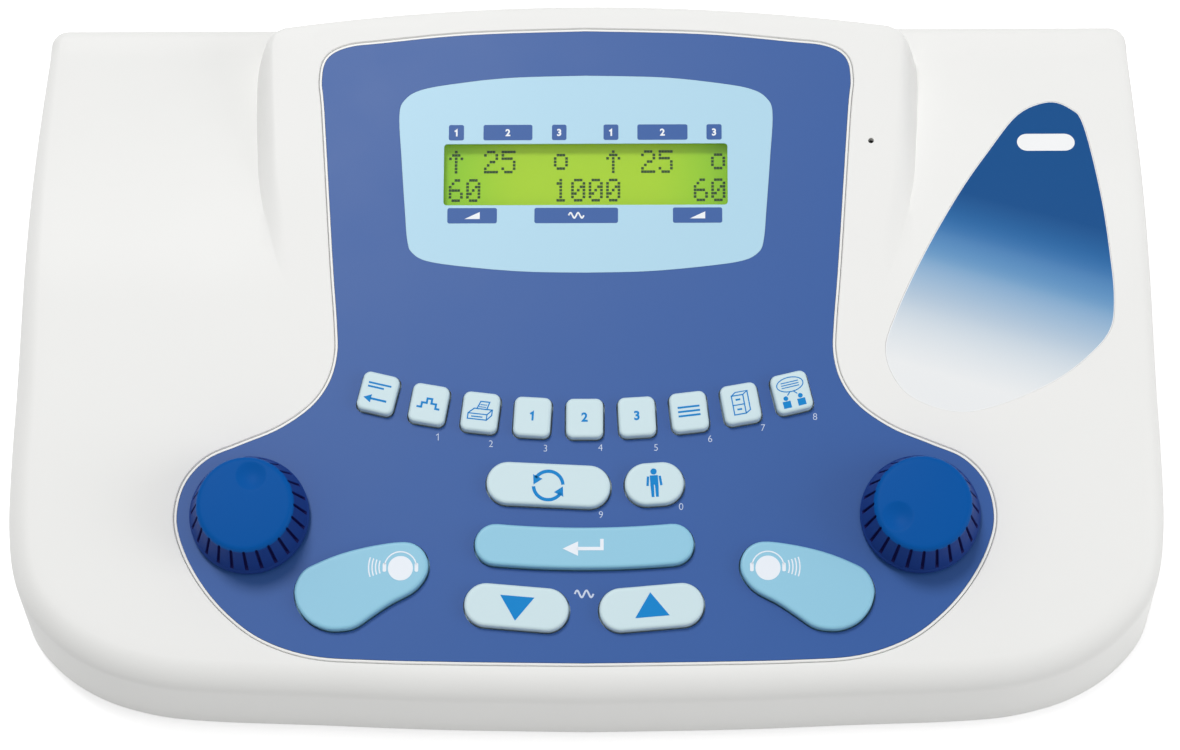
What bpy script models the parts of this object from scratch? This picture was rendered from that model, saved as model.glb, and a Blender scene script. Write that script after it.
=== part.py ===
# Desktop audiometer: a sloped plastic case with a keyed front panel, a text display
# and two turning knobs.
# Metres, +Z up. X runs to the user's right and Y to the rear. The origin is under the
# middle of the case, on the surface the feet stand on.
# Pieces of the front panel are drawn in the panel's own frame: u to the right, s up the
# slope from the middle of the display, n off the panel, with n = 0 on its printed film.

import math

import bpy
from mathutils import Matrix, Vector
from mathutils.geometry import delaunay_2d_cdt

for old in list(bpy.data.objects):
    bpy.data.objects.remove(old, do_unlink=True)

# Case
panel_tilt = math.radians(12.5)
display_y = 0.0557
display_height = 0.0729
case_wall = 0.0028
case_edge_radius = 0.0080
case_rear_edge_radius = 0.0040
case_edge_change_y = -0.0200
least_edge_radius = 0.0005
skirt_height = 0.0035
skirt_cut_reach = 0.0100
running_gap = 0.0003

# Half of the case seen from above, from the rear middle round to the front middle
case_half_outline = (
    (0.0000, 0.1210), (0.0900, 0.1210), (0.1440, 0.1210), (0.1680, 0.1210), (0.1780, 0.1210),
    (0.1833, 0.1210), (0.1863, 0.1202), (0.1885, 0.1180), (0.1893, 0.1150), (0.1895, 0.1080),
    (0.1902, 0.0900), (0.1912, 0.0600), (0.1920, 0.0250),
    (0.1926, -0.0100), (0.1933, -0.0350), (0.1935, -0.0520), (0.1931, -0.0640), (0.1916, -0.0760),
    (0.1881, -0.0862), (0.1818, -0.0950), (0.1727, -0.1032), (0.1615, -0.1096), (0.1500, -0.1135),
    (0.1380, -0.1159), (0.1200, -0.1173), (0.0900, -0.1184), (0.0500, -0.1201), (0.0000, -0.1210),
)

# Raised middle of the case: the line where its side starts to fall to the wings, and how
# wide the falling side is, front to rear
hump_side_line = (
    (0.0978, 0.0150), (0.1000, 0.0226), (0.1010, 0.0280), (0.1021, 0.0390), (0.1038, 0.0486),
    (0.1055, 0.0590), (0.1063, 0.0698), (0.1071, 0.0804), (0.1078, 0.0920), (0.1083, 0.1025),
    (0.1073, 0.1063),
)
hump_step_widths = (
    (0.0150, 0.0030), (0.0227, 0.0036), (0.0279, 0.0047), (0.0334, 0.0057), (0.0390, 0.0065),
    (0.0447, 0.0071), (0.0810, 0.0073), (0.0940, 0.0071), (0.1068, 0.0064), (0.1153, 0.0042),
)
hump_rear_radius = 0.7350
hump_rear_y = 0.1153
hump_corner_x = 0.1042
hump_inner_lead = 0.0022
wing_drop = 0.0203
wing_ramp_start_y = 0.0140
wing_ramp_end_y = 0.1130
wing_line_count = 9
hump_line_count = 5
wing_line_start_x = 0.1170
wing_line_end_x = 0.1805

# Front panel: printed film, white plate below it, and the pocket they lie in
film_half_outline = (
    (0.0000, 0.0524), (0.0400, 0.0512), (0.0701, 0.0483), (0.0825, 0.0467), (0.0893, 0.0426),
    (0.0910, 0.0345), (0.0898, 0.0220), (0.0859, -0.0300), (0.0839, -0.0530), (0.0836, -0.0640),
    (0.0861, -0.0738), (0.0921, -0.0824), (0.1028, -0.0901), (0.1158, -0.0957), (0.1265, -0.1006),
    (0.1336, -0.1090), (0.1360, -0.1200), (0.1338, -0.1303), (0.1278, -0.1418), (0.1187, -0.1527),
    (0.1067, -0.1617), (0.0904, -0.1673), (0.0701, -0.1688), (0.0400, -0.1695), (0.0000, -0.1700),
)
film_thickness = 0.0005
film_edge_gap = 0.00015
film_seat_gap = 0.0003
plate_thickness = 0.0022
plate_rim_width = 0.0010
plate_rim_drop = 0.0001
pocket_gap = 0.0003
ledge_width = 0.0040
ledge_thickness = 0.0020
ledge_wall = 0.0030
ledge_overlap = 0.0010
cut_reach = 0.0100
deep_cut_reach = 0.0300

# Display
surround_half_outline = (
    (0.0000, 0.0361), (0.0260, 0.0354), (0.0450, 0.0333), (0.0565, 0.0311), (0.0621, 0.0277),
    (0.0641, 0.0220), (0.0631, 0.0060), (0.0617, -0.0120), (0.0606, -0.0237), (0.0586, -0.0282),
    (0.0528, -0.0311), (0.0380, -0.0332), (0.0200, -0.0347), (0.0000, -0.0351),
)
window_width = 0.0971
window_height = 0.0222
window_corner = 0.0012
window_s = 0.0002
pane_border = 0.0030
pane_thickness = 0.0012
pane_corner = 0.0010
lcd_view_side = 0.00095
lcd_view_end = 0.0020
lcd_bezel_side = 0.0085
lcd_bezel_end = 0.0044
lcd_bezel_depth = 0.0064
lcd_bezel_wall = 0.0015
lcd_bezel_lip = 0.0008
lcd_glass_thickness = 0.0040
lcd_board_side = 0.0030
lcd_board_end = 0.0050
board_thickness = 0.0016
lcd_post_inset = 0.0025
post_radius = 0.0020
lcd_view_width = window_width + 2 * lcd_view_side
lcd_view_height = window_height + 2 * lcd_view_end
lcd_bezel_width = lcd_view_width + 2 * lcd_bezel_side
lcd_bezel_height = lcd_view_height + 2 * lcd_bezel_end
lcd_board_width = lcd_bezel_width + 2 * lcd_board_side
lcd_board_height = lcd_bezel_height + 2 * lcd_board_end
lcd_post_u = lcd_board_width / 2 - lcd_post_inset
lcd_post_s = lcd_board_height / 2 - lcd_post_inset

# Keys
key_rise = 0.0030
key_edge_radius = 0.0009
key_travel = 0.0012
key_opening_gap = 0.00035
key_flange_reach = 0.0010
key_flange_thickness = 0.0010
key_stem_radius = 0.0012
key_stem_reach = 0.0031
row_key_count = 9
row_key_width = 0.0124
row_key_height = 0.0136
row_key_corner = 0.0024
row_arc_radius = 0.2750
row_arc_s = -0.0870
row_key_spacing = 0.01753
row_key_pitch = row_key_spacing / row_arc_radius
row_turn_share = 0.9166
cycle_key_width = 0.0413
cycle_key_height = 0.0144
cycle_key_centre = (-0.0120, -0.1099)
cycle_key_turn = math.radians(-2.8)
person_key_width = 0.0197
person_key_height = 0.0144
person_key_centre = (0.0233, -0.1096)
person_key_turn = math.radians(3.8)
enter_key_width = 0.0728
enter_key_height = 0.0139
enter_key_s = -0.1316
enter_arc_radius = 0.3300
arrow_key_width = 0.0346
arrow_key_height = 0.0145
arrow_key_u = 0.0223
arrow_key_s = -0.1516
arrow_key_turn = math.radians(5.0)
present_stem_u = 0.0740
present_stem_s = -0.1440

# The right long blue key about its stem; the left one is its mirror image
present_key_outline = (
    (0.0218, -0.0013), (0.0192, 0.0045), (0.0138, 0.0077), (0.0056, 0.0109), (-0.0047, 0.0134),
    (-0.0147, 0.0145), (-0.0198, 0.0123), (-0.0222, 0.0078), (-0.0215, 0.0030), (-0.0175, -0.0020),
    (-0.0100, -0.0062), (-0.0040, -0.0103), (0.0015, -0.0141), (0.0066, -0.0152), (0.0117, -0.0148),
    (0.0170, -0.0121), (0.0207, -0.0072),
)

# Key switches and their board
switch_size = 0.0060
switch_height = 0.0030
switch_bore_radius = 0.0015
switch_clearance = 0.0005
keypad_board_head = 0.0137
keypad_board_row_side = 0.0087
keypad_board_shoulder = (0.0140, 0.0120)
keypad_board_side = 0.0180
keypad_board_foot = 0.0084
keypad_posts = ((0.0720, -0.0955), (0.0460, -0.1205), (0.0860, -0.1255), (0.0450, -0.1560))
joint_overlap = 0.0002

# Knobs and their rotary encoders
knob_u = 0.1115
knob_s = -0.1202
knob_lift = 0.0010
knob_rim_radius = 0.0200
knob_rim_height = 0.0024
knob_skirt_radius = 0.0196
knob_shoulder_radius = 0.0163
knob_cap_radius = 0.0149
knob_shoulder_height = 0.0149
knob_cap_height = 0.0166
knob_dome_radius = 0.0080
knob_dome_height = 0.0173
knob_groove_count = 24
knob_groove_depth = 0.0010
knob_groove_steps = 2
knob_well_radius = 0.0085
knob_well_depth = 0.0035
knob_bore_depth = 0.0118
dimple_radius = 0.0125
dimple_depth = 0.0012
dimple_distance = 0.0096
dimple_sweep = math.radians(40)
dimple_left_angle = math.radians(78)
dimple_right_angle = math.radians(209)
encoder_size = 0.0130
encoder_height = 0.0070
bushing_radius = 0.0035
bushing_rise = 0.0022
bushing_bore_radius = 0.0027
bushing_bore_depth = 0.0063
shaft_radius = 0.0024
shaft_foot = 0.0060
nut_width = 0.0100
nut_height = 0.0018

# Label on the right wing, seen from above
label_outline = (
    (0.1601, 0.0884), (0.1492, 0.0831), (0.1381, 0.0676), (0.1272, 0.0505), (0.1146, 0.0275),
    (0.1048, 0.0067), (0.1012, -0.0058), (0.1053, -0.0172), (0.1134, -0.0235), (0.1265, -0.0267),
    (0.1410, -0.0236), (0.1582, -0.0160), (0.1699, -0.0073), (0.1771, 0.0013), (0.1789, 0.0119),
    (0.1782, 0.0275), (0.1761, 0.0507), (0.1718, 0.0785), (0.1676, 0.0855),
)
label_thickness = 0.0004
label_drop = 0.0001
label_edge_gap = 0.0002
label_line_count = 9

# Microphone beside the panel
mic_u = 0.0977
mic_s = 0.0121
mic_hole_radius = 0.0010
mic_radius = 0.0048
mic_height = 0.0050
mic_holder_wall = 0.0015
mic_holder_depth = 0.0080

# Base
base_thickness = 0.0025
base_gap = 0.0004
foot_radius = 0.0090
foot_height = 0.0032
foot_taper = 0.0010
feet = (("front_left", -0.1500, -0.0850), ("front_right", 0.1500, -0.0850),
        ("rear_left", -0.1500, 0.0950), ("rear_right", 0.1500, 0.0950))
case_screws = (("front_left", -0.1660, -0.0700), ("front_right", 0.1660, -0.0700),
               ("rear_left", -0.1700, 0.1020), ("rear_right", 0.1700, 0.1020))
boss_radius = 0.0045
boss_pilot_radius = 0.0018
boss_pilot_depth = 0.0140
screw_head_radius = 0.0032
screw_head_height = 0.0013
screw_head_recess = 0.0016
screw_shank_radius = 0.0015
screw_length = 0.0125
screw_clearance = 0.0003

# Main board
main_board_min = (-0.1000, -0.0780)
main_board_max = (0.1350, 0.0880)
main_board_height = 0.0120
main_posts = ((-0.0920, -0.0700), (0.0180, -0.0700), (0.1270, -0.0700),
              (-0.0920, 0.0800), (0.0180, 0.0800), (0.1270, 0.0800))
main_post_radius = 0.0030
main_chips = (((-0.0500, 0.0100), (0.0280, 0.0280, 0.0030)), ((0.0480, 0.0100), (0.0200, 0.0200, 0.0025)),
              ((0.0950, 0.0200), (0.0300, 0.0160, 0.0080)), ((-0.0650, 0.0620), (0.0220, 0.0220, 0.0120)),
              ((0.0850, 0.0620), (0.0360, 0.0200, 0.0060)), ((0.0750, -0.0450), (0.0140, 0.0300, 0.0040)))

# Ribbon cables from the main board to the display and to the key board
ribbon_thickness = 0.0010
plug_height = 0.0040
plug_length = 0.0060
display_ribbon_x = -0.0200
display_ribbon_width = 0.0260
display_ribbon_foot_y = 0.0450
display_ribbon_top_s = 0.0120
keypad_ribbon_x = 0.0150
keypad_ribbon_width = 0.0300
keypad_ribbon_foot_y = -0.0150
keypad_ribbon_top_s = -0.0770
ribbon_bow = 0.0060

# Rear connectors
rear_opening_height = 0.0260
rear_opening_z = 0.0280
rear_opening_corner = 0.0030
rear_plate_border = 0.0040
rear_plate_thickness = 0.0020
jack_names = ("jack_phones", "jack_bone", "jack_patient", "jack_talk")
jack_end_inset = 0.0130
jack_pitch = 0.0220
port_spacing = 0.0190
power_spacing = 0.0150
switch_spacing = 0.0180
switch_end_inset = 0.0150
rear_opening_width = (jack_end_inset + (len(jack_names) - 1) * jack_pitch + port_spacing + power_spacing
                      + switch_spacing + switch_end_inset)
first_jack_x = jack_end_inset - rear_opening_width / 2
jack_positions = [(name, first_jack_x + k * jack_pitch) for k, name in enumerate(jack_names)]
jack_bore_radius = 0.0033
jack_nose_radius = 0.0055
jack_nose_reach = 0.0028
jack_body_size = 0.0150
jack_body_depth = 0.0220
jack_bore_depth = 0.0240
data_port_x = jack_positions[-1][1] + port_spacing
data_port_width = 0.0120
data_port_height = 0.0110
data_port_opening_width = 0.0085
data_port_opening_height = 0.0078
data_port_depth = 0.0160
data_tongue_width = 0.0056
data_tongue_height = 0.0032
data_opening_depth = 0.0100
data_nose_reach = 0.0010
power_socket_x = data_port_x + power_spacing
power_socket_radius = 0.0045
power_socket_bore = 0.0028
power_pin_radius = 0.0010
power_socket_size = 0.0100
power_socket_depth = 0.0130
power_bore_depth = 0.0095
power_pin_setback = 0.0010
switch_x = power_socket_x + switch_spacing
rocker_width = 0.0100
rocker_half_height = 0.0054
rocker_face_reach = 0.0030
rocker_face_dip = 0.0009
rocker_back_reach = 0.0046
rocker_back_half = 0.0036
rocker_side_gap = 0.0004
rocker_cavity_half = 0.0061
rocker_cavity_depth = 0.0055
rocker_pin_radius = 0.0009
rocker_pin_length = 0.0010
rocker_pin_gap = 0.0003
rocker_lean = math.radians(8)
switch_wall = 0.0022
switch_rim = 0.0016
switch_rim_reach = 0.0013
switch_body_depth = 0.0140
rocker_axis_setback = 0.0038

# Fineness of the round shapes
curve_steps = 2
panel_curve_steps = 2
key_curve_steps = 2
plain_curve_steps = 1
hump_side_steps = 2
hump_rear_steps = 6
label_curve_steps = 3
inner_hump_line_count = 3
inner_wing_line_count = 4
ring_keep_share = 0.98
edge_steps = 4
inner_edge_steps = 2
corner_steps = 2
end_steps = 3
key_edge_steps = 2
dimple_steps = 3
round_sides = 20
small_round_sides = 12
hidden_round_sides = 8
sharp_angle = math.radians(32)
same_place = 0.00001
mesh_epsilon = 1e-7
tiny_square = 1e-18

# Levels off the panel that follow from the sizes above
plate_top = -film_thickness - film_seat_gap
plate_bottom = plate_top - plate_thickness
flange_top = plate_bottom - running_gap
flange_bottom = flange_top - key_flange_thickness
switch_top = flange_bottom - key_travel - switch_clearance
keypad_board_top = switch_top - switch_height
keypad_board_bottom = keypad_board_top - board_thickness
pane_top = -film_thickness - film_seat_gap
pane_bottom = pane_top - pane_thickness
bezel_top = plate_bottom - running_gap
bezel_bottom = bezel_top - lcd_bezel_depth
glass_top = bezel_top - lcd_bezel_lip - running_gap
lcd_board_top = bezel_bottom - running_gap
lcd_board_bottom = lcd_board_top - board_thickness
label_floor = label_drop + label_thickness + running_gap
panel_frame = Matrix.Translation((0, display_y, display_height)) @ Matrix.Rotation(panel_tilt, 4, "X")
case_rear_y = case_half_outline[0][1]


# Materials

def make_material(name, colour, roughness, metallic=0.0):
    material = bpy.data.materials.new(name)
    material.use_nodes = True
    shader = material.node_tree.nodes["Principled BSDF"]
    shader.inputs["Base Color"].default_value = (*colour, 1.0)
    shader.inputs["Roughness"].default_value = roughness
    shader.inputs["Metallic"].default_value = metallic
    return material


case_white = make_material("case_white", (0.84, 0.84, 0.82), 0.45)
film_blue = make_material("film_blue", (0.055, 0.135, 0.370), 0.35)
film_pale = make_material("film_pale", (0.485, 0.730, 0.870), 0.35)
key_pale = make_material("key_pale", (0.640, 0.800, 0.840), 0.45)
key_blue = make_material("key_blue", (0.290, 0.590, 0.740), 0.45)
knob_blue = make_material("knob_blue", (0.008, 0.050, 0.260), 0.40)
label_mid = make_material("label_mid", (0.170, 0.350, 0.570), 0.30)
pane_clear = make_material("pane_clear", (0.90, 0.95, 0.95), 0.05)
lcd_green = make_material("lcd_green", (0.400, 0.620, 0.060), 0.25)
bezel_black = make_material("bezel_black", (0.020, 0.020, 0.022), 0.50)
board_green = make_material("board_green", (0.030, 0.160, 0.070), 0.50)
metal_grey = make_material("metal_grey", (0.560, 0.560, 0.560), 0.35, 1.0)
rubber_grey = make_material("rubber_grey", (0.060, 0.060, 0.065), 0.80)
socket_black = make_material("socket_black", (0.025, 0.025, 0.028), 0.45)
ribbon_grey = make_material("ribbon_grey", (0.500, 0.500, 0.520), 0.60)
base_grey = make_material("base_grey", (0.420, 0.420, 0.410), 0.55)


# Outlines: lists of 2D points, counter-clockwise seen from above

def smooth_line(points, steps, closed=False):
    """Points of a smooth curve that passes through the given ones."""
    count = len(points)
    spans = count if closed else count - 1
    line = []
    for i in range(spans):
        if closed:
            four = [Vector(points[(i + k) % count]) for k in (-1, 0, 1, 2)]
        else:
            four = [Vector(points[min(max(i + k, 0), count - 1)]) for k in (-1, 0, 1, 2)]
        before, start, end, after = four
        for step in range(steps):
            t = step / steps
            line.append(0.5 * (2 * start + (end - before) * t
                               + (2 * before - 5 * start + 4 * end - after) * t ** 2
                               + (3 * start - before - 3 * end + after) * t ** 3))
    if not closed:
        line.append(Vector(points[-1]))
    return line


def mirrored_outline(half_points, steps):
    """A full outline from the right half, listed from the rear middle to the front middle."""
    right = smooth_line(half_points, steps)
    left = [Vector((-point.x, point.y)) for point in reversed(right[1:-1])]
    return list(reversed(right + left))


def corners_only(half_points):
    right = [Vector(point) for point in half_points]
    left = [Vector((-point.x, point.y)) for point in reversed(right) if point.x > 0]
    return list(reversed(right + left))


def arc_points(centre, radius, start, end, steps):
    return [Vector((centre[0] + radius * math.cos(start + (end - start) * k / steps),
                    centre[1] + radius * math.sin(start + (end - start) * k / steps)))
            for k in range(steps + 1)]


def without_repeats(outline):
    """The outline without the points that lie on the one before them."""
    return [point for i, point in enumerate(outline) if (point - outline[i - 1]).length > same_place]


def rounded_box(width, height, corner, steps=corner_steps, centre=(0, 0)):
    points = []
    for quarter, (side_x, side_y) in enumerate(((1, 1), (-1, 1), (-1, -1), (1, -1))):
        middle = (centre[0] + side_x * (width / 2 - corner), centre[1] + side_y * (height / 2 - corner))
        start = quarter * math.pi / 2
        points += arc_points(middle, corner, start, start + math.pi / 2, steps)
    return without_repeats(points)


def box_outline(width, height, centre=(0, 0)):
    return [Vector((centre[0] + x * width / 2, centre[1] + y * height / 2))
            for x, y in ((1, 1), (-1, 1), (-1, -1), (1, -1))]


def circle(radius, sides, centre=(0, 0)):
    return arc_points(centre, radius, 0, math.tau, sides)[:-1]


def outward_normals(outline):
    normals = []
    for i, point in enumerate(outline):
        before, after = outline[i - 1], outline[(i + 1) % len(outline)]
        a, b = (point - before).normalized(), (after - point).normalized()
        normal = Vector((a.y + b.y, -a.x - b.x)).normalized()
        normals.append(normal / max(normal.dot(Vector((b.y, -b.x))), 0.5))
    return normals


def grown(outline, distance):
    return [point + normal * distance for point, normal in zip(outline, outward_normals(outline))]


def turned_outline(outline, angle, centre):
    rotation = Matrix.Rotation(angle, 2)
    return [rotation @ point + Vector(centre) for point in outline]


# Meshes in local coordinates

def mesh_of(name, vertices, faces):
    mesh = bpy.data.meshes.new(name)
    mesh.from_pydata([tuple(vertex) for vertex in vertices], [], faces)
    mesh.validate()
    return mesh


def lofted(name, rings):
    """A closed skin over rings of equally many points, listed from the bottom up."""
    size = len(rings[0])
    vertices = [point for ring in rings for point in ring]
    faces = [tuple(reversed(range(size)))]
    for level in range(len(rings) - 1):
        low, high = level * size, (level + 1) * size
        for i in range(size):
            j = (i + 1) % size
            faces.append((low + i, low + j, high + j, high + i))
    faces.append(tuple(range((len(rings) - 1) * size, len(rings) * size)))
    return mesh_of(name, vertices, faces)


def prism(name, outline, bottom, top):
    return lofted(name, [[(p.x, p.y, z) for p in outline] for z in (bottom, top)])


def turned(name, profile, sides):
    """A solid of revolution about the local Z axis: (radius, height) pairs, bottom to top."""
    return lofted(name, [[(p.x, p.y, z) for p in circle(radius, sides)] for radius, z in profile])


def joined_meshes(name, meshes):
    vertices, faces = [], []
    for mesh in meshes:
        start = len(vertices)
        vertices += [tuple(v.co) for v in mesh.vertices]
        faces += [tuple(start + i for i in face.vertices) for face in mesh.polygons]
    return mesh_of(name, vertices, faces)


# Objects

def place(name, mesh, material, frame=Matrix.Identity(4), parent=None):
    mesh.name = name
    mesh.materials.clear()
    mesh.materials.append(material)
    piece = bpy.data.objects.new(name, mesh)
    bpy.context.scene.collection.objects.link(piece)
    piece.parent = parent
    piece.matrix_local = frame
    return piece


def empty_at(name, frame, parent=None):
    marker = bpy.data.objects.new(name, None)
    marker.empty_display_size = 2 * case_edge_radius
    bpy.context.scene.collection.objects.link(marker)
    marker.parent = parent
    marker.matrix_local = frame
    return marker


def combine(piece, tool_mesh, operation, frame=Matrix.Identity(4)):
    """Cuts the tool from the piece, or joins it to the piece. The frame is the tool's place."""
    tool = bpy.data.objects.new("tool", tool_mesh)
    bpy.context.scene.collection.objects.link(tool)
    tool.matrix_world = frame
    tool.hide_render = True
    tool.display_type = "WIRE"
    change = piece.modifiers.new(operation.lower(), "BOOLEAN")
    change.operation = operation
    change.solver = "EXACT"
    change.object = tool
    bpy.context.view_layer.update()
    graph = bpy.context.evaluated_depsgraph_get()
    result = bpy.data.meshes.new_from_object(piece.evaluated_get(graph))
    piece.modifiers.clear()
    used = piece.data
    piece.data = result
    result.name = used.name
    bpy.data.meshes.remove(used)
    bpy.data.objects.remove(tool, do_unlink=True)
    bpy.data.meshes.remove(tool_mesh)


def cut(piece, tool_mesh, frame=Matrix.Identity(4)):
    combine(piece, tool_mesh, "DIFFERENCE", frame)


def join(piece, tool_mesh, frame=Matrix.Identity(4)):
    combine(piece, tool_mesh, "UNION", frame)


def smooth(piece):
    piece.data.shade_smooth()
    piece.data.set_sharp_from_angle(angle=sharp_angle)


# Shape of the case

def distance_to_line(point, line, closed):
    nearest = math.inf
    for i in range(len(line) if closed else len(line) - 1):
        start, end = line[i], line[(i + 1) % len(line)]
        along = end - start
        share = min(max((point - start).dot(along) / max(along.length_squared, tiny_square), 0), 1)
        nearest = min(nearest, (point - start - along * share).length)
    return nearest


def inside(point, outline):
    crossings = 0
    for i, start in enumerate(outline):
        end = outline[(i + 1) % len(outline)]
        if (start.y > point.y) != (end.y > point.y):
            if point.x < start.x + (end.x - start.x) * (point.y - start.y) / (end.y - start.y):
                crossings += 1
    return crossings % 2 == 1


def hump_line():
    """The top of the raised middle's side and rear, on the right half, front to rear middle."""
    side = smooth_line(hump_side_line, hump_side_steps)
    rear = []
    for k in range(hump_rear_steps + 1):
        x = hump_corner_x * (1 - k / hump_rear_steps)
        rear.append(Vector((x, hump_rear_y - hump_rear_radius
                            + math.sqrt(hump_rear_radius ** 2 - x ** 2))))
    return side + rear


hump_half = hump_line()
hump_region = hump_half + [Vector((-p.x, p.y)) for p in reversed(hump_half[:-1])]


def behind_rear(outline):
    """The outline with nothing past the flat rear wall."""
    return [Vector((p.x, min(p.y, case_rear_y))) for p in outline]


case_outline = behind_rear(mirrored_outline(case_half_outline, curve_steps))


def past_hump(point):
    """How far a point lies outside the raised middle; negative inside it."""
    mirrored = Vector((abs(point.x), point.y))
    distance = distance_to_line(mirrored, hump_half, closed=False)
    in_front = point.y < hump_half[0].y
    return -distance if in_front or inside(point, hump_region) else distance


def step_width(y):
    """Width of the falling side at a distance from front to rear."""
    for low, high in zip(hump_step_widths, hump_step_widths[1:]):
        if y < high[0]:
            share = max((y - low[0]) / (high[0] - low[0]), 0)
            return low[1] + (high[1] - low[1]) * share
    return hump_step_widths[-1][1]


def deck_height(y):
    return display_height + (y - display_y) * math.tan(panel_tilt)


def wing_fall(y):
    share = min(max((y - wing_ramp_start_y) / (wing_ramp_end_y - wing_ramp_start_y), 0), 1)
    return wing_drop * share ** 2 * (3 - share) / 2


def case_height(point, hump_lead=0.0):
    fall = wing_fall(point.y)
    if fall > 0:
        share = min(max((past_hump(point) + hump_lead) / step_width(point.y), 0), 1)
        fall *= share ** 2
    return deck_height(point.y) - fall


def edge_radius(y, wall):
    """Radius of the rounded edge, smaller to the rear, or of the inner edge behind a wall."""
    share = min(max((y - case_edge_change_y) / (case_rear_y - case_edge_change_y), 0), 1)
    outer = case_edge_radius + (case_rear_edge_radius - case_edge_radius) * share
    return max(outer - wall, least_edge_radius)


def edge_fall(distance, radius):
    reach = max(radius - distance, 0)
    return radius - math.sqrt(radius ** 2 - reach ** 2)


def case_body(name, outline, wall, steps, hump_lead, step_lines, wing_lines, bottom):
    """A closed solid under the case's upper surface, or under the same surface a wall lower."""
    points, edges = [], []

    def add_line(line, closed):
        start = len(points)
        points.extend(line)
        edges.extend((start + i, start + i + 1) for i in range(len(line) - 1))
        if closed:
            edges.append((start + len(line) - 1, start))

    add_line(outline, closed=True)
    rim_count = len(outline)
    for k in range(1, steps + 1):
        inset = 1 - math.cos(k * math.pi / 2 / steps)
        ring = []
        for p, normal in zip(outline, outward_normals(outline)):
            distance = edge_radius(p.y, wall) * inset
            if distance_to_line(p - normal * distance, outline, closed=True) > distance * ring_keep_share:
                ring.append(p - normal * distance)
        add_line(ring, closed=True)
    for k in range(step_lines):
        share = k / (step_lines - 1)
        half = []
        for i, p in enumerate(hump_half):
            before, after = hump_half[max(i - 1, 0)], hump_half[min(i + 1, len(hump_half) - 1)]
            along = (after - before).normalized()
            half.append(p + Vector((along.y, -along.x)) * (step_width(p.y) * share - hump_lead))
        whole = half + [Vector((-p.x, p.y)) for p in reversed(half[:-1])]
        add_line([p for p in whole if inside(p, outline)], closed=False)
    for k in range(wing_lines):
        share = k / (wing_lines - 1)
        y = wing_ramp_start_y + (wing_ramp_end_y - case_edge_radius - wing_ramp_start_y) * share
        for side in (-1, 1):
            add_line([Vector((side * wing_line_start_x, y)), Vector((side * wing_line_end_x, y))], closed=False)

    flat, _, triangles, _, _, _ = delaunay_2d_cdt(points, edges, [list(range(rim_count))], 1, mesh_epsilon)
    rim_places = {(round(p.x, 6), round(p.y, 6)): i for i, p in enumerate(outline)}
    vertices, rim = [], [None] * rim_count
    for index, p in enumerate(flat):
        distance = distance_to_line(p, outline, closed=True)
        radius = edge_radius(p.y, wall)
        z = case_height(p, hump_lead) - wall - edge_fall(distance, radius)
        found = rim_places.get((round(p.x, 6), round(p.y, 6)))
        if found is not None:
            rim[found] = index
            z = case_height(p, hump_lead) - wall - radius
        vertices.append((p.x, p.y, z))
    faces = [tuple(face) for face in triangles]
    low_start = len(vertices)
    vertices += [(p.x, p.y, bottom) for p in outline]
    for i in range(rim_count):
        j = (i + 1) % rim_count
        faces.append((rim[j], rim[i], low_start + i, low_start + j))
    faces.append(tuple(reversed(range(low_start, low_start + rim_count))))
    return mesh_of(name, vertices, faces)


# Upper housing
panel_axis = empty_at("panel_frame", panel_frame)
film_outline = mirrored_outline(film_half_outline, panel_curve_steps)
plate_outline = grown(film_outline, plate_rim_width)
plate_outline_plain = grown(mirrored_outline(film_half_outline, plain_curve_steps), plate_rim_width)
inner_case_outline = grown(behind_rear(mirrored_outline(case_half_outline, plain_curve_steps)), -case_wall)

upper_housing = place(
    "upper_housing",
    case_body("upper_housing", case_outline, 0.0, edge_steps, 0.0, hump_line_count, wing_line_count,
              skirt_height),
    case_white,
)
cut(upper_housing, case_body("hollow", inner_case_outline, case_wall, inner_edge_steps, hump_inner_lead,
                             inner_hump_line_count, inner_wing_line_count, skirt_height - skirt_cut_reach))

# Pocket for the front panel, with a ledge that carries the plate
ledge_top = plate_bottom - running_gap
join(upper_housing, prism("pocket_wall", grown(plate_outline_plain, ledge_wall), ledge_top - ledge_thickness,
                          -ledge_overlap), panel_frame)
cut(upper_housing, prism("pocket", grown(plate_outline, pocket_gap), ledge_top, cut_reach), panel_frame)
cut(upper_housing, prism("panel_opening", grown(plate_outline_plain, -ledge_width), -deep_cut_reach, cut_reach),
    panel_frame)

# Bosses for the case screws
boss_foot = skirt_height + base_thickness + running_gap
for _, x, y in case_screws:
    boss_top = case_height(Vector((x, y))) - case_wall / 2
    boss = prism("boss", circle(boss_radius, small_round_sides, (x, y)), boss_foot, boss_top)
    join(upper_housing, boss)
cut(upper_housing, joined_meshes("pilots", [
    prism("pilot", circle(boss_pilot_radius, small_round_sides, (x, y)), 0, boss_foot + boss_pilot_depth)
    for _, x, y in case_screws]))

# Holder and sound hole of the microphone
holder_outer = circle(mic_radius + running_gap + mic_holder_wall, round_sides, (mic_u, mic_s))
join(upper_housing, prism("mic_holder", holder_outer, -mic_holder_depth, -ledge_overlap), panel_frame)
mic_top = -case_wall - running_gap
cut(upper_housing, prism("mic_seat", circle(mic_radius + running_gap, round_sides, (mic_u, mic_s)),
                         -deep_cut_reach / 2, mic_top + running_gap), panel_frame)
cut(upper_housing, prism("mic_hole", circle(mic_hole_radius, small_round_sides, (mic_u, mic_s)),
                         mic_top, cut_reach), panel_frame)

# Opening for the rear connectors
rear_frame = Matrix.Translation((0, case_rear_y, rear_opening_z)) @ Matrix.Rotation(-math.pi / 2, 4, "X")
rear_opening = rounded_box(rear_opening_width, rear_opening_height, rear_opening_corner)
cut(upper_housing, prism("rear_opening", rear_opening, -2 * case_wall, 2 * case_wall), rear_frame)


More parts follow.
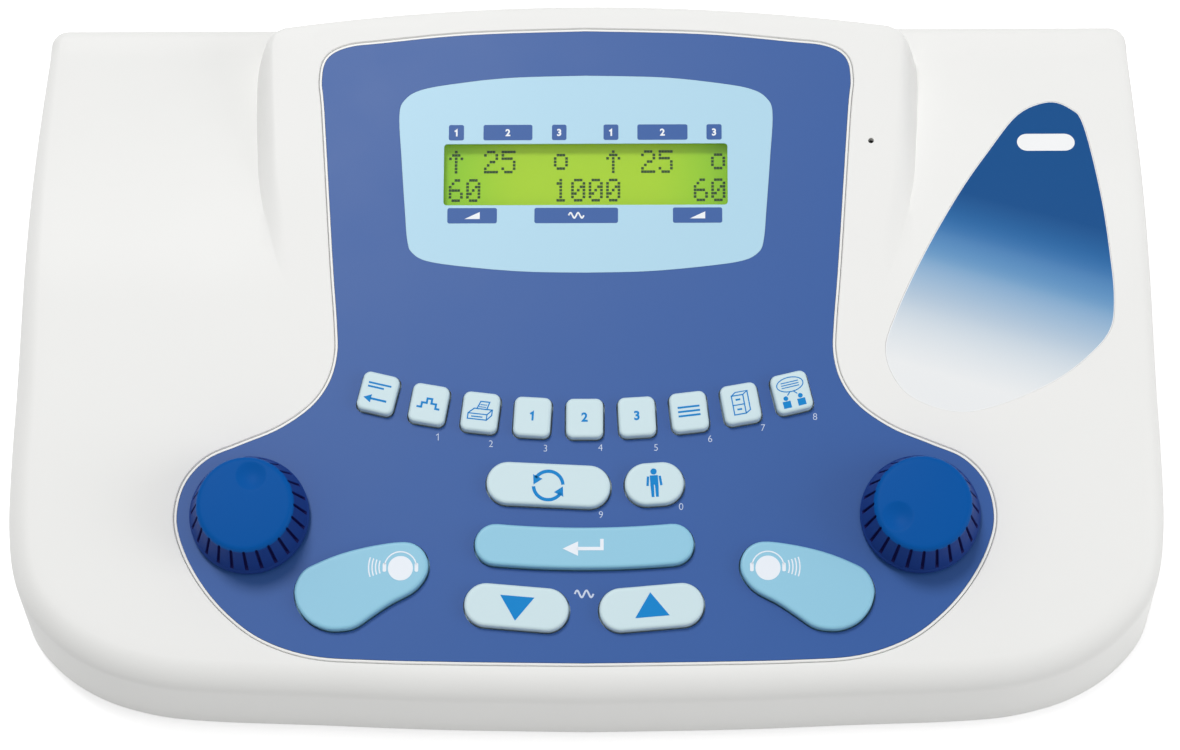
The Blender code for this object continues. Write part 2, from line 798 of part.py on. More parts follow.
# Label on the right wing, in a shallow recess that follows the wing
def on_wing(name, outline, low, high):
    """A sheet that follows the wing's surface between two depths below it."""
    count = len(outline)
    points, edges = list(outline), [(i, (i + 1) % count) for i in range(count)]
    lows, highs = min(p.y for p in outline), max(p.y for p in outline)
    for k in range(1, label_line_count):
        y = lows + (highs - lows) * k / label_line_count
        crossings = []
        for i, a in enumerate(outline):
            b = outline[(i + 1) % count]
            if (a.y > y) != (b.y > y):
                crossings.append(a.x + (b.x - a.x) * (y - a.y) / (b.y - a.y))
        start = len(points)
        points += [Vector((min(crossings), y)), Vector((max(crossings), y))]
        edges.append((start, start + 1))
    flat, _, triangles, _, _, _ = delaunay_2d_cdt(points, edges, [list(range(count))], 1, mesh_epsilon)
    size = len(flat)
    vertices = [(p.x, p.y, deck_height(p.y) - wing_fall(p.y) + high) for p in flat]
    vertices += [(p.x, p.y, deck_height(p.y) - wing_fall(p.y) + low) for p in flat]
    faces = [tuple(face) for face in triangles]
    faces += [tuple(size + i for i in reversed(face)) for face in triangles]
    used = {}
    for face in triangles:
        for i in range(3):
            used[(face[i], face[(i + 1) % 3])] = True
    for a, b in used:
        if (b, a) not in used:
            faces.append((b, a, size + a, size + b))
    return mesh_of(name, vertices, faces)


label_line = smooth_line(label_outline, label_curve_steps, closed=True)
cut(upper_housing, on_wing("label_recess", grown(label_line, label_edge_gap), -label_floor, cut_reach))
smooth(upper_housing)
place("side_label", on_wing("side_label", label_line, -label_drop - label_thickness, -label_drop), label_mid)

# Lower housing: a base plate inside the skirt, with board posts and screw holes
base_outline = grown(inner_case_outline, -base_gap)
base_top = skirt_height + base_thickness
lower_housing = place("lower_housing", prism("lower_housing", base_outline, skirt_height, base_top), base_grey)
join(lower_housing, joined_meshes("board_posts", [
    prism("post", circle(main_post_radius, hidden_round_sides, (x, y)), base_top - joint_overlap,
          main_board_height - running_gap) for x, y in main_posts]))
cut(lower_housing, joined_meshes("screw_holes", [
    prism("hole", circle(screw_shank_radius + screw_clearance, small_round_sides, (x, y)), 0,
          base_top + cut_reach) for _, x, y in case_screws]))
cut(lower_housing, joined_meshes("screw_recesses", [
    prism("recess", circle(screw_head_radius + screw_clearance, small_round_sides, (x, y)), 0,
          skirt_height + screw_head_recess) for _, x, y in case_screws]))
smooth(lower_housing)

for corner, x, y in feet:
    foot = place("foot_" + corner, turned("foot", (
        (foot_radius - foot_taper, 0), (foot_radius, foot_taper), (foot_radius, foot_height)), round_sides),
        rubber_grey, Matrix.Translation((x, y, 0)))
    smooth(foot)

head_bottom = skirt_height + screw_head_recess - running_gap - screw_head_height
for corner, x, y in case_screws:
    screw = place("case_screw_" + corner, turned("screw", (
        (screw_head_radius, 0), (screw_head_radius, screw_head_height),
        (screw_shank_radius, screw_head_height), (screw_shank_radius, screw_head_height + screw_length)),
        small_round_sides), metal_grey, Matrix.Translation((x, y, head_bottom)))
    smooth(screw)


# Keys: outlines about each key's own centre
def enter_outline():
    """A bar bent along an arc, with half-round ends."""
    centre = (0, enter_arc_radius)
    half_angle = (enter_key_width - enter_key_height) / 2 / enter_arc_radius
    low, high = -math.pi / 2 - half_angle, -math.pi / 2 + half_angle
    outer = arc_points(centre, enter_arc_radius + enter_key_height / 2, low, high, 2 * end_steps)
    inner = arc_points(centre, enter_arc_radius - enter_key_height / 2, high, low, 2 * end_steps)
    ends = []
    for angle in (high, low):
        middle = (enter_arc_radius * math.cos(angle), enter_arc_radius + enter_arc_radius * math.sin(angle))
        start = angle if angle == high else angle + math.pi
        ends.append(arc_points(middle, enter_key_height / 2, start, start + math.pi, 2 * end_steps)[1:-1])
    return outer + ends[0] + inner + ends[1]


def present_outline(side):
    """The long blue key about its stem."""
    right = smooth_line(present_key_outline, key_curve_steps, closed=True)
    if side > 0:
        return right
    return [Vector((-p.x, p.y)) for p in reversed(right)]


def row_key(index):
    angle = (index - (row_key_count - 1) / 2) * row_key_pitch
    centre = (row_arc_radius * math.sin(angle), row_arc_s + row_arc_radius * (1 - math.cos(angle)))
    return centre, angle * row_turn_share


row_names = ("key_clear", "key_step", "key_print", "key_soft_1", "key_soft_2", "key_soft_3",
             "key_menu", "key_store", "key_talk")
keys = []
for index, name in enumerate(row_names):
    centre, turn = row_key(index)
    keys.append((name, rounded_box(row_key_width, row_key_height, row_key_corner), centre, turn, key_pale))
keys.append(("key_cycle", rounded_box(cycle_key_width, cycle_key_height, cycle_key_height / 2, end_steps),
             cycle_key_centre, cycle_key_turn, key_pale))
keys.append(("key_person", rounded_box(person_key_width, person_key_height, person_key_height / 2, end_steps),
             person_key_centre, person_key_turn, key_pale))
keys.append(("key_enter", enter_outline(), (0, enter_key_s), 0.0, key_blue))
for side, name in ((-1, "key_down"), (1, "key_up")):
    keys.append((name, rounded_box(arrow_key_width, arrow_key_height, arrow_key_height / 2, end_steps),
                 (side * arrow_key_u, arrow_key_s), side * arrow_key_turn, key_pale))
for side, name in ((-1, "key_present_left"), (1, "key_present_right")):
    keys.append((name, present_outline(side), (side * present_stem_u, present_stem_s), 0.0, key_blue))


def key_mesh(name, outline):
    """Flange, body with a rounded upper edge, and the stem that enters the switch."""
    def ring(distance, z):
        return [(p.x, p.y, z) for p in grown(outline, distance)]

    rings = [ring(key_flange_reach, flange_bottom), ring(key_flange_reach, flange_top), ring(0, flange_top)]
    for k in range(key_edge_steps + 1):
        angle = k * math.pi / 2 / key_edge_steps
        rings.append(ring(-key_edge_radius * (1 - math.cos(angle)),
                          key_rise - key_edge_radius * (1 - math.sin(angle))))
    return lofted(name, rings)


stem_foot = flange_bottom - key_stem_reach
for name, outline, centre, turn, material in keys:
    frame = Matrix.Translation((*centre, 0)) @ Matrix.Rotation(turn, 4, "Z")
    key = place(name, key_mesh(name, outline), material, frame, panel_axis)
    stem = prism("stem", circle(key_stem_radius, hidden_round_sides), stem_foot, flange_bottom + joint_overlap)
    join(key, stem, panel_frame @ frame)
    smooth(key)


def key_openings():
    shapes = []
    for _, outline, centre, turn, _ in keys:
        shapes.append(prism("opening", turned_outline(grown(outline, key_opening_gap), turn, centre),
                            -cut_reach, cut_reach))
    return joined_meshes("key_openings", shapes)


# Front plate: carries the film, the display and the key board
front_plate = place("front_plate", prism("front_plate", plate_outline, plate_bottom, -plate_rim_drop),
                    case_white, Matrix.Identity(4), panel_axis)
cut(front_plate, prism("film_bed", grown(film_outline, film_edge_gap), plate_top, cut_reach), panel_frame)
join(front_plate, joined_meshes("display_posts", [
    prism("post", circle(post_radius, hidden_round_sides, (side_u * lcd_post_u, side_s * lcd_post_s)),
          lcd_board_top + running_gap, plate_bottom + joint_overlap)
    for side_u in (-1, 1) for side_s in (-1, 1)]), panel_frame)
join(front_plate, joined_meshes("keypad_posts", [
    prism("post", circle(post_radius, hidden_round_sides, (side * u, s)),
          keypad_board_top + running_gap, plate_bottom + joint_overlap)
    for side in (-1, 1) for u, s in keypad_posts]), panel_frame)
cut(front_plate, key_openings(), panel_frame)
cut(front_plate, joined_meshes("bushing_holes", [
    prism("hole", circle(bushing_radius + running_gap, round_sides, (side * knob_u, knob_s)),
          -cut_reach, cut_reach)
    for side in (-1, 1)]), panel_frame)
cut(front_plate, prism("pane_bed", rounded_box(window_width + 2 * (pane_border + running_gap),
                                               window_height + 2 * (pane_border + running_gap), pane_corner),
                       pane_bottom - running_gap, cut_reach), panel_frame)
cut(front_plate, prism("display_opening", rounded_box(lcd_view_width, lcd_view_height, window_corner),
                       -cut_reach, cut_reach), panel_frame)

# Printed film in two colours, and the clear pane behind it
surround_outline = mirrored_outline(surround_half_outline, panel_curve_steps)
front_film = place("front_film", prism("front_film", film_outline, -film_thickness, 0), film_blue,
                   Matrix.Identity(4), panel_axis)
cut(front_film, prism("surround_opening", grown(surround_outline, film_edge_gap), -cut_reach, cut_reach),
    panel_frame)
cut(front_film, joined_meshes("bushing_holes", [
    prism("hole", circle(nut_width, round_sides, (side * knob_u, knob_s)), -cut_reach, cut_reach)
    for side in (-1, 1)]), panel_frame)
cut(front_film, key_openings(), panel_frame)

display_surround = place("display_surround", prism("display_surround", surround_outline, -film_thickness, 0),
                         film_pale, Matrix.Identity(4), panel_axis)
cut(display_surround, prism("window", rounded_box(window_width, window_height, window_corner,
                                                  centre=(0, window_s)), -cut_reach, cut_reach), panel_frame)
place("display_pane", prism("display_pane", rounded_box(
    window_width + 2 * pane_border, window_height + 2 * pane_border, pane_corner), pane_bottom, pane_top),
    pane_clear, Matrix.Identity(4), panel_axis)

# Display module: metal bezel, glass block and circuit board
lcd_bezel = place("lcd_bezel", prism("lcd_bezel", box_outline(lcd_bezel_width, lcd_bezel_height),
                                     bezel_bottom, bezel_top), bezel_black, Matrix.Identity(4), panel_axis)
cavity_width = lcd_bezel_width - 2 * lcd_bezel_wall
cavity_height = lcd_bezel_height - 2 * lcd_bezel_wall
cut(lcd_bezel, prism("cavity", box_outline(cavity_width, cavity_height), -deep_cut_reach,
                     bezel_top - lcd_bezel_lip), panel_frame)
cut(lcd_bezel, prism("view", box_outline(lcd_view_width, lcd_view_height), -cut_reach, cut_reach), panel_frame)
glass_outline = box_outline(cavity_width - 2 * running_gap, cavity_height - 2 * running_gap)
place("lcd_glass", prism("lcd_glass", glass_outline, glass_top - lcd_glass_thickness, glass_top),
      lcd_green, Matrix.Identity(4), panel_axis)
lcd_board_outline = box_outline(lcd_board_width, lcd_board_height)
lcd_board = place("lcd_board", prism("lcd_board", lcd_board_outline, lcd_board_bottom, lcd_board_top),
                  board_green, Matrix.Identity(4), panel_axis)
display_plug_foot = lcd_board_bottom - plug_height
display_plug = box_outline(display_ribbon_width, plug_length, (display_ribbon_x, display_ribbon_top_s))
join(lcd_board, prism("plug", display_plug, display_plug_foot, lcd_board_bottom + joint_overlap), panel_frame)

# Key board with one bored switch under each stem
last_row_centre, _ = row_key(row_key_count - 1)
board_head = row_arc_s + keypad_board_head
board_row_side = last_row_centre[0] + keypad_board_row_side
board_shoulder = last_row_centre[1] - keypad_board_shoulder[0]
board_side = present_stem_u + keypad_board_side
board_low_shoulder = board_shoulder - keypad_board_shoulder[1]
board_foot = min(present_stem_s, arrow_key_s) - keypad_board_foot
keypad_board_half_outline = ((0, board_head), (board_row_side, board_head), (board_row_side, board_shoulder),
                             (board_side, board_low_shoulder), (board_side, board_foot), (0, board_foot))
keypad_board = place("keypad_board", prism("keypad_board", corners_only(keypad_board_half_outline),
                                           keypad_board_bottom, keypad_board_top), board_green,
                     Matrix.Identity(4), panel_axis)
join(keypad_board, joined_meshes("switches", [
    prism("switch", turned_outline(box_outline(switch_size, switch_size), turn, centre),
          keypad_board_top - joint_overlap, switch_top) for _, _, centre, turn, _ in keys]), panel_frame)
bore_foot = stem_foot - key_travel - switch_clearance
cut(keypad_board, joined_meshes("switch_bores", [
    prism("bore", circle(switch_bore_radius, hidden_round_sides, centre), bore_foot, 0)
    for _, _, centre, _, _ in keys]), panel_frame)
keypad_plug_foot = keypad_board_bottom - plug_height
keypad_plug = box_outline(keypad_ribbon_width, plug_length, (keypad_ribbon_x, keypad_ribbon_top_s))
join(keypad_board, prism("plug", keypad_plug, keypad_plug_foot, keypad_board_bottom + joint_overlap),
     panel_frame)

# Rotary encoders, their nuts and shafts
encoder_top = plate_bottom - running_gap
for side, word in ((-1, "left"), (1, "right")):
    frame = Matrix.Translation((side * knob_u, knob_s, 0))
    encoder = place("encoder_body_" + word, prism("encoder", box_outline(encoder_size, encoder_size),
                                                  encoder_top - encoder_height, encoder_top),
                    socket_black, frame, panel_axis)
    bushing = prism("bushing", circle(bushing_radius, round_sides), encoder_top - joint_overlap, bushing_rise)
    join(encoder, bushing, panel_frame @ frame)
    cut(encoder, prism("bore", circle(bushing_bore_radius, round_sides), -bushing_bore_depth, cut_reach),
        panel_frame @ frame)
    smooth(encoder)
    nut = place("encoder_nut_" + word, prism("nut", circle(nut_width / 2 / math.cos(math.pi / 6), 6),
                                             plate_top + running_gap, plate_top + running_gap + nut_height),
                metal_grey, frame, panel_axis)
    cut(nut, prism("thread", circle(bushing_radius + running_gap, round_sides), -cut_reach, cut_reach),
        panel_frame @ frame)


# Knobs, each with its shaft on the turning axis
def knob_mesh():
    profile = [(knob_rim_radius, 0.0, False), (knob_rim_radius, knob_rim_height - running_gap, False),
               (knob_skirt_radius, knob_rim_height, True), (knob_shoulder_radius, knob_shoulder_height, True),
               (knob_cap_radius, knob_cap_height, False), (knob_dome_radius, knob_dome_height, False)]
    sides = knob_groove_count * knob_groove_steps
    rings = []
    for radius, z, grooved in profile:
        ring = []
        for k, p in enumerate(circle(radius, sides)):
            cut_in = knob_groove_depth if grooved and k % knob_groove_steps == 0 else 0.0
            scale = (radius - cut_in) / radius
            ring.append((p.x * scale, p.y * scale, z))
        rings.append(ring)
    return lofted("knob", rings)


for side, word, angle in ((-1, "left", dimple_left_angle), (1, "right", dimple_right_angle)):
    knob_place = Matrix.Translation((side * knob_u, knob_s, knob_lift))
    turning_axis = empty_at("knob_axis_" + word, knob_place, panel_axis)
    frame = Matrix.Identity(4)
    world = panel_frame @ knob_place
    knob = place("knob_" + word, knob_mesh(), knob_blue, frame, turning_axis)
    cut(knob, prism("well", circle(knob_well_radius, round_sides), -cut_reach, knob_well_depth), world)
    cut(knob, prism("shaft_bore", circle(shaft_radius + running_gap, round_sides), -cut_reach, knob_bore_depth),
        world)
    bowl = [(dimple_radius * math.sin(dimple_sweep * k / dimple_steps),
             dimple_radius * (1 - math.cos(dimple_sweep * k / dimple_steps)) - dimple_depth)
            for k in range(1, dimple_steps + 1)]
    dimple_place = (dimple_distance * math.cos(angle), dimple_distance * math.sin(angle),
                    knob_dome_height - running_gap)
    bowl_frame = world @ Matrix.Translation(dimple_place)
    cut(knob, turned("dimple", bowl, small_round_sides), bowl_frame)
    smooth(knob)
    shaft = place("encoder_shaft_" + word, prism("shaft", circle(shaft_radius, round_sides),
                                                 -shaft_foot - knob_lift, knob_bore_depth - running_gap),
                  metal_grey, frame, turning_axis)
    smooth(shaft)

# Microphone capsule
microphone = place("microphone", prism("microphone", circle(mic_radius, round_sides),
                                       mic_top - mic_height, mic_top), socket_black,
                   Matrix.Translation((mic_u, mic_s, 0)), panel_axis)
smooth(microphone)

# Main board on the base posts
board_width = main_board_max[0] - main_board_min[0]
board_depth = main_board_max[1] - main_board_min[1]
board_centre = ((main_board_max[0] + main_board_min[0]) / 2, (main_board_max[1] + main_board_min[1]) / 2)
main_board_top = main_board_height + board_thickness
main_board = place("main_board", prism("main_board", box_outline(board_width, board_depth, board_centre),
                                       main_board_height, main_board_top), board_green)
blocks = [prism("block", box_outline(size[0], size[1], centre), main_board_top - joint_overlap,
                main_board_top + size[2]) for centre, size in main_chips]
for x, width, y in ((display_ribbon_x, display_ribbon_width, display_ribbon_foot_y),
                    (keypad_ribbon_x, keypad_ribbon_width, keypad_ribbon_foot_y)):
    blocks.append(prism("plug", box_outline(width, plug_length, (x, y)), main_board_top - joint_overlap,
                        main_board_top + plug_height))
join(main_board, joined_meshes("blocks", blocks))


# Ribbon cables: flat strips that bow between two plugs
def ribbon(name, x, width, foot_y, plug_foot, top_s):
    top = panel_frame @ Vector((0, top_s, plug_foot - running_gap))
    off_panel = panel_frame.to_3x3() @ Vector((0, 0, -ribbon_bow))
    foot = Vector((0, foot_y, main_board_top + plug_height + running_gap))
    rise = Vector((0, 0, ribbon_bow))
    line = [(p.x, p.y) for p in (
        Vector((foot.y, foot.z)), Vector(((foot + rise).y, (foot + rise).z)),
        Vector((((foot + top) / 2).y - ribbon_bow, ((foot + top) / 2).z)),
        Vector(((top + off_panel).y, (top + off_panel).z)), Vector((top.y, top.z)))]
    path = smooth_line(line, end_steps)
    rings = []
    for i, p in enumerate(path):
        if i == 0:
            along = Vector((0, 1))
        elif i == len(path) - 1:
            along = Vector((-off_panel.y, -off_panel.z)).normalized()
        else:
            along = (path[i + 1] - path[i - 1]).normalized()
        across = Vector((along.y, -along.x)) * ribbon_thickness / 2
        near, far = p - across, p + across
        rings.append([(x - width / 2, near.x, near.y), (x + width / 2, near.x, near.y),
                      (x + width / 2, far.x, far.y), (x - width / 2, far.x, far.y)])
    return place(name, lofted(name, rings), ribbon_grey)


ribbon("display_ribbon", display_ribbon_x, display_ribbon_width, display_ribbon_foot_y, display_plug_foot,
       display_ribbon_top_s)
ribbon("keypad_ribbon", keypad_ribbon_x, keypad_ribbon_width, keypad_ribbon_foot_y, keypad_plug_foot,
       keypad_ribbon_top_s)

# Rear plate and its sockets. In the rear frame the local Z axis points out of the case.
# Its local X axis runs along the case's X, and its local Y axis points down.
plate_face = -case_wall - running_gap
plate_back = plate_face - rear_plate_thickness
rear_axis = empty_at("rear_frame", rear_frame)
rear_plate_outline = rounded_box(rear_opening_width + 2 * rear_plate_border,
                                 rear_opening_height + 2 * rear_plate_border, rear_opening_corner)
rear_plate = place("rear_plate", prism("rear_plate", rear_plate_outline, plate_back, plate_face),
                   metal_grey, Matrix.Identity(4), rear_axis)
holes = [prism("hole", circle(jack_nose_radius + running_gap, round_sides, (x, 0)), -cut_reach, cut_reach)
         for _, x in jack_positions]
holes.append(prism("hole", box_outline(data_port_width + 2 * running_gap, data_port_height + 2 * running_gap,
                                       (data_port_x, 0)), -cut_reach, cut_reach))
holes.append(prism("hole", circle(power_socket_radius + running_gap, round_sides, (power_socket_x, 0)),
                   -cut_reach, cut_reach))
switch_body_width = rocker_width + 2 * (rocker_side_gap + switch_wall)
switch_body_height = 2 * (rocker_cavity_half + switch_wall)
switch_hole = box_outline(switch_body_width + 2 * running_gap,
                          switch_body_height + 2 * running_gap, (switch_x, 0))
holes.append(prism("hole", switch_hole, -cut_reach, cut_reach))
cut(rear_plate, joined_meshes("holes", holes), rear_frame)

body_top = plate_back - running_gap
for name, x in jack_positions:
    frame = Matrix.Translation((x, 0, 0))
    jack_box = box_outline(jack_body_size, jack_body_size)
    jack = place(name, prism(name, jack_box, body_top - jack_body_depth, body_top), socket_black, frame,
                 rear_axis)
    nose_top = plate_face + jack_nose_reach
    join(jack, prism("nose", circle(jack_nose_radius, round_sides), body_top - joint_overlap, nose_top),
         rear_frame @ frame)
    cut(jack, prism("bore", circle(jack_bore_radius, round_sides), nose_top - jack_bore_depth, cut_reach),
        rear_frame @ frame)
    smooth(jack)

frame = Matrix.Translation((data_port_x, 0, 0))
nose_top = plate_face + data_nose_reach
data_port = place("data_port", prism("data_port", box_outline(data_port_width, data_port_height),
                                     body_top - data_port_depth, nose_top), metal_grey, frame, rear_axis)
cut(data_port, prism("opening", box_outline(data_port_opening_width, data_port_opening_height),
                     nose_top - data_opening_depth, cut_reach), rear_frame @ frame)
join(data_port, prism("tongue", box_outline(data_tongue_width, data_tongue_height),
                      nose_top - data_opening_depth - joint_overlap, nose_top - power_pin_setback),
     rear_frame @ frame)

frame = Matrix.Translation((power_socket_x, 0, 0))
socket_box = box_outline(power_socket_size, power_socket_size)
power_socket = place("power_socket", prism("power_socket", socket_box, body_top - power_socket_depth, body_top),
                     socket_black, frame, rear_axis)
join(power_socket, prism("nose", circle(power_socket_radius, round_sides), body_top - joint_overlap, nose_top),
     rear_frame @ frame)
cut(power_socket, prism("bore", circle(power_socket_bore, round_sides), nose_top - power_bore_depth, cut_reach),
    rear_frame @ frame)
join(power_socket, prism("pin", circle(power_pin_radius, small_round_sides),
                         nose_top - power_bore_depth - joint_overlap, nose_top - power_pin_setback),
     rear_frame @ frame)
smooth(power_socket)

# Power switch: a body with a cavity, and a rocker that leans to one side at rest
rocker_axis_n = plate_face + switch_rim_reach + running_gap - rocker_axis_setback + switch_rim / 2
frame = Matrix.Translation((switch_x, 0, 0))
rim_top = plate_face + running_gap + switch_rim_reach
switch_foot = plate_face - switch_body_depth
switch_box = box_outline(switch_body_width, switch_body_height)
rim_box = box_outline(switch_body_width + 2 * switch_rim, switch_body_height + 2 * switch_rim)
rim_foot = plate_face + running_gap
power_switch = place("power_switch", prism("power_switch", switch_box, switch_foot, rim_foot + joint_overlap),
                     socket_black, frame, rear_axis)
join(power_switch, prism("rim", rim_box, rim_foot, rim_top), rear_frame @ frame)
cut(power_switch, prism("cavity", box_outline(rocker_width + 2 * rocker_side_gap, 2 * rocker_cavity_half),
                        rocker_axis_n - rocker_cavity_depth, cut_reach), rear_frame @ frame)
pin_frame = rear_frame @ Matrix.Translation((switch_x, 0, rocker_axis_n)) @ Matrix.Rotation(math.pi / 2, 4, "Y")
pin_half = rocker_width / 2 + rocker_pin_length
cut(power_switch, prism("pin_holes", circle(rocker_pin_radius + rocker_pin_gap, small_round_sides),
                        -pin_half - rocker_pin_gap, pin_half + rocker_pin_gap), pin_frame)

rocker_frame = Matrix.Translation((switch_x, 0, rocker_axis_n)) @ Matrix.Rotation(rocker_lean, 4, "X")
rocker_axis = empty_at("rocker_axis", rocker_frame, rear_axis)
rocker_profile = [Vector(p) for p in (
    (rocker_half_height, rocker_face_reach), (0, rocker_face_reach - rocker_face_dip),
    (-rocker_half_height, rocker_face_reach), (-rocker_half_height, 0),
    (-rocker_back_half, -rocker_back_reach), (rocker_back_half, -rocker_back_reach), (rocker_half_height, 0))]
side_turn = Matrix.Rotation(math.pi / 2, 4, "Y") @ Matrix.Rotation(math.pi / 2, 4, "Z")
rocker = place("power_rocker", prism("power_rocker", rocker_profile, -rocker_width / 2, rocker_width / 2),
               socket_black, side_turn, rocker_axis)
bpy.context.view_layer.update()
join(rocker, prism("pins", circle(rocker_pin_radius, small_round_sides), -pin_half, pin_half),
     rear_frame @ rocker_frame @ side_turn)
smooth(rocker)
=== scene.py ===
# Looks of a desktop audiometer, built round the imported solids. Metres, +Z up.
# Panel pieces are drawn flat in the panel's own frame (u right, s up the slope,
# n off the film) and turned into place once.
import math

import bmesh
import bpy
from mathutils import Matrix, Vector
from mathutils.geometry import delaunay_2d_cdt


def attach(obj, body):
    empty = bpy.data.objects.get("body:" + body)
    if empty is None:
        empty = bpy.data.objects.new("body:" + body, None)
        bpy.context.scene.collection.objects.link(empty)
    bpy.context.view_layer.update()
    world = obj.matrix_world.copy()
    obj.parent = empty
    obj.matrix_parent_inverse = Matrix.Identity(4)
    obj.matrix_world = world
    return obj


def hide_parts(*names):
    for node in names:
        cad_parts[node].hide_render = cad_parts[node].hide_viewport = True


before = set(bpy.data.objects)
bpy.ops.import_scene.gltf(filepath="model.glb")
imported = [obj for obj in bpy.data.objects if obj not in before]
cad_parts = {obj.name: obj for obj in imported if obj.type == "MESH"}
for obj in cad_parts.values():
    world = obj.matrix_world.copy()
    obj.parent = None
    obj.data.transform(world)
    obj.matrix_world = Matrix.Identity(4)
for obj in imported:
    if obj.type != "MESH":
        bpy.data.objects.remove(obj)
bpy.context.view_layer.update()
print("frame loaded:", len(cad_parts), "solids")

panel = {"tilt": math.radians(12.5), "y": 0.0557, "z": 0.0729}
panelPlace = Matrix.Translation((0, panel["y"], panel["z"])) @ Matrix.Rotation(panel["tilt"], 4, "X")
quarter = math.pi / 2
cornerLimit = 0.5  # how far a sharp corner may stretch when an outline grows

# camera, as the photograph was taken
cameraView = {
    "place": (0.024338, -0.610607, 1.150273),
    "forward": (-0.01816, 0.47917, -0.87753),
    "right": (0.99983, 0.00682, -0.01697),
    "lens": 112.88, "sensor": 36, "nearest": 0.01,
}


def addCamera(values):
    data = bpy.data.cameras.new("viewCamera")
    data.sensor_width = values["sensor"]
    data.lens = values["lens"]
    data.clip_start = values["nearest"]
    eye = bpy.data.objects.new("viewCamera", data)
    bpy.context.scene.collection.objects.link(eye)
    forward = Vector(values["forward"]).normalized()
    right = Vector(values["right"]).normalized()
    up = right.cross(forward).normalized()
    turn = Matrix((right, up, -forward)).transposed().to_4x4()
    eye.matrix_world = Matrix.Translation(values["place"]) @ turn
    bpy.context.scene.camera = eye


addCamera(cameraView)


# flat outlines, counter-clockwise
def smoothLine(points, steps, closed=False):
    count = len(points)
    line = []
    for i in range(count if closed else count - 1):
        if closed:
            a, b, c, d = [Vector(points[(i + k) % count]) for k in (-1, 0, 1, 2)]
        else:
            a, b, c, d = [Vector(points[min(max(i + k, 0), count - 1)]) for k in (-1, 0, 1, 2)]
        for step in range(steps):
            t = step / steps
            line.append(0.5 * (2 * b + (c - a) * t + (2 * a - 5 * b + 4 * c - d) * t * t
                               + (3 * b - a - 3 * c + d) * t ** 3))
    if not closed:
        line.append(Vector(points[-1]))
    return line


def bothHalves(halfPoints, steps):
    right = smoothLine(halfPoints, steps)
    return list(reversed(right + [Vector((-p.x, p.y)) for p in reversed(right[1:-1])]))


def arcPoints(centre, radius, start, end, steps):
    return [Vector((centre[0] + radius * math.cos(start + (end - start) * k / steps),
                    centre[1] + radius * math.sin(start + (end - start) * k / steps)))
            for k in range(steps + 1)]


def circlePoints(radius, sides, centre=(0, 0)):
    return arcPoints(centre, radius, 0, math.tau, sides)[:-1]


def withoutRepeats(outline):
    return [p for i, p in enumerate(outline) if (p - outline[i - 1]).length > 1e-5]


def roundBox(width, height, corner, steps=6, centre=(0, 0)):
    points = []
    for turn, (sideX, sideY) in enumerate(((1, 1), (-1, 1), (-1, -1), (1, -1))):
        middle = (centre[0] + sideX * (width / 2 - corner), centre[1] + sideY * (height / 2 - corner))
        points += arcPoints(middle, corner, turn * quarter, (turn + 1) * quarter, steps)
    return withoutRepeats(points)


# Outward steps that move every side of the outline by one
def outwardSteps(outline):
    steps = []
    for i, p in enumerate(outline):
        a = (p - outline[i - 1]).normalized()
        b = (outline[(i + 1) % len(outline)] - p).normalized()
        normal = Vector((a.y + b.y, -a.x - b.x)).normalized()
        steps.append(normal / max(normal.dot(Vector((b.y, -b.x))), cornerLimit))
    return steps


def grown(outline, distance):
    return [p + step * distance for p, step in zip(outline, outwardSteps(outline))]


def turnedOutline(outline, angle, centre):
    rotation = Matrix.Rotation(angle, 2)
    return [rotation @ p + Vector(centre) for p in outline]


def isInside(p, outline):
    inside = False
    for i, b in enumerate(outline):
        a = outline[i - 1]
        if (a.y > p.y) != (b.y > p.y) and p.x < a.x + (b.x - a.x) * (p.y - a.y) / (b.y - a.y):
            inside = not inside
    return inside


def distanceTo(p, line, closed):
    best = 1e9
    for i in range(len(line) if closed else len(line) - 1):
        a, b = line[i], line[(i + 1) % len(line)]
        along = b - a
        share = min(max((p - a).dot(along) / max(along.length_squared, 1e-18), 0), 1)
        best = min(best, (p - a - along * share).length_squared)
    return math.sqrt(best)


# meshes
def meshFrom(name, points, faces):
    mesh = bpy.data.meshes.new(name)
    mesh.from_pydata([tuple(p) for p in points], [], faces)
    mesh.validate()
    return mesh


def loftMesh(name, rings):
    size = len(rings[0])
    points = [p for ring in rings for p in ring]
    faces = [tuple(reversed(range(size)))]
    for level in range(len(rings) - 1):
        low, high = level * size, (level + 1) * size
        faces += [(low + i, low + (i + 1) % size, high + (i + 1) % size, high + i)
                  for i in range(size)]
    faces.append(tuple(range((len(rings) - 1) * size, len(rings) * size)))
    return meshFrom(name, points, faces)


def slab(outline, low, high):
    return loftMesh("slab", [[(p.x, p.y, z) for p in outline] for z in (low, high)])


# A slab with a rounded upper edge and, where asked, a rounded lower one
def softSlab(outline, low, high, edge, steps=4, lowEdge=0.0):
    def ring(inset, z):
        return [(p.x, p.y, z) for p in grown(outline, -inset)]

    rings = []
    if lowEdge:
        for k in range(steps + 1):
            angle = k * quarter / steps
            rings.append(ring(lowEdge * (1 - math.sin(angle)), low + lowEdge * (1 - math.cos(angle))))
    else:
        rings.append(ring(0, low))
    for k in range(steps + 1):
        angle = k * quarter / steps
        rings.append(ring(edge * (1 - math.cos(angle)), high - edge * (1 - math.sin(angle))))
    rings.append(ring(edge * 1.25, high))
    return loftMesh("softSlab", rings)


def joined(meshes):
    points, faces = [], []
    for mesh in meshes:
        start = len(points)
        points += [v.co.copy() for v in mesh.vertices]
        faces += [tuple(start + i for i in face.vertices) for face in mesh.polygons]
        bpy.data.meshes.remove(mesh)
    return meshFrom("joined", points, faces)


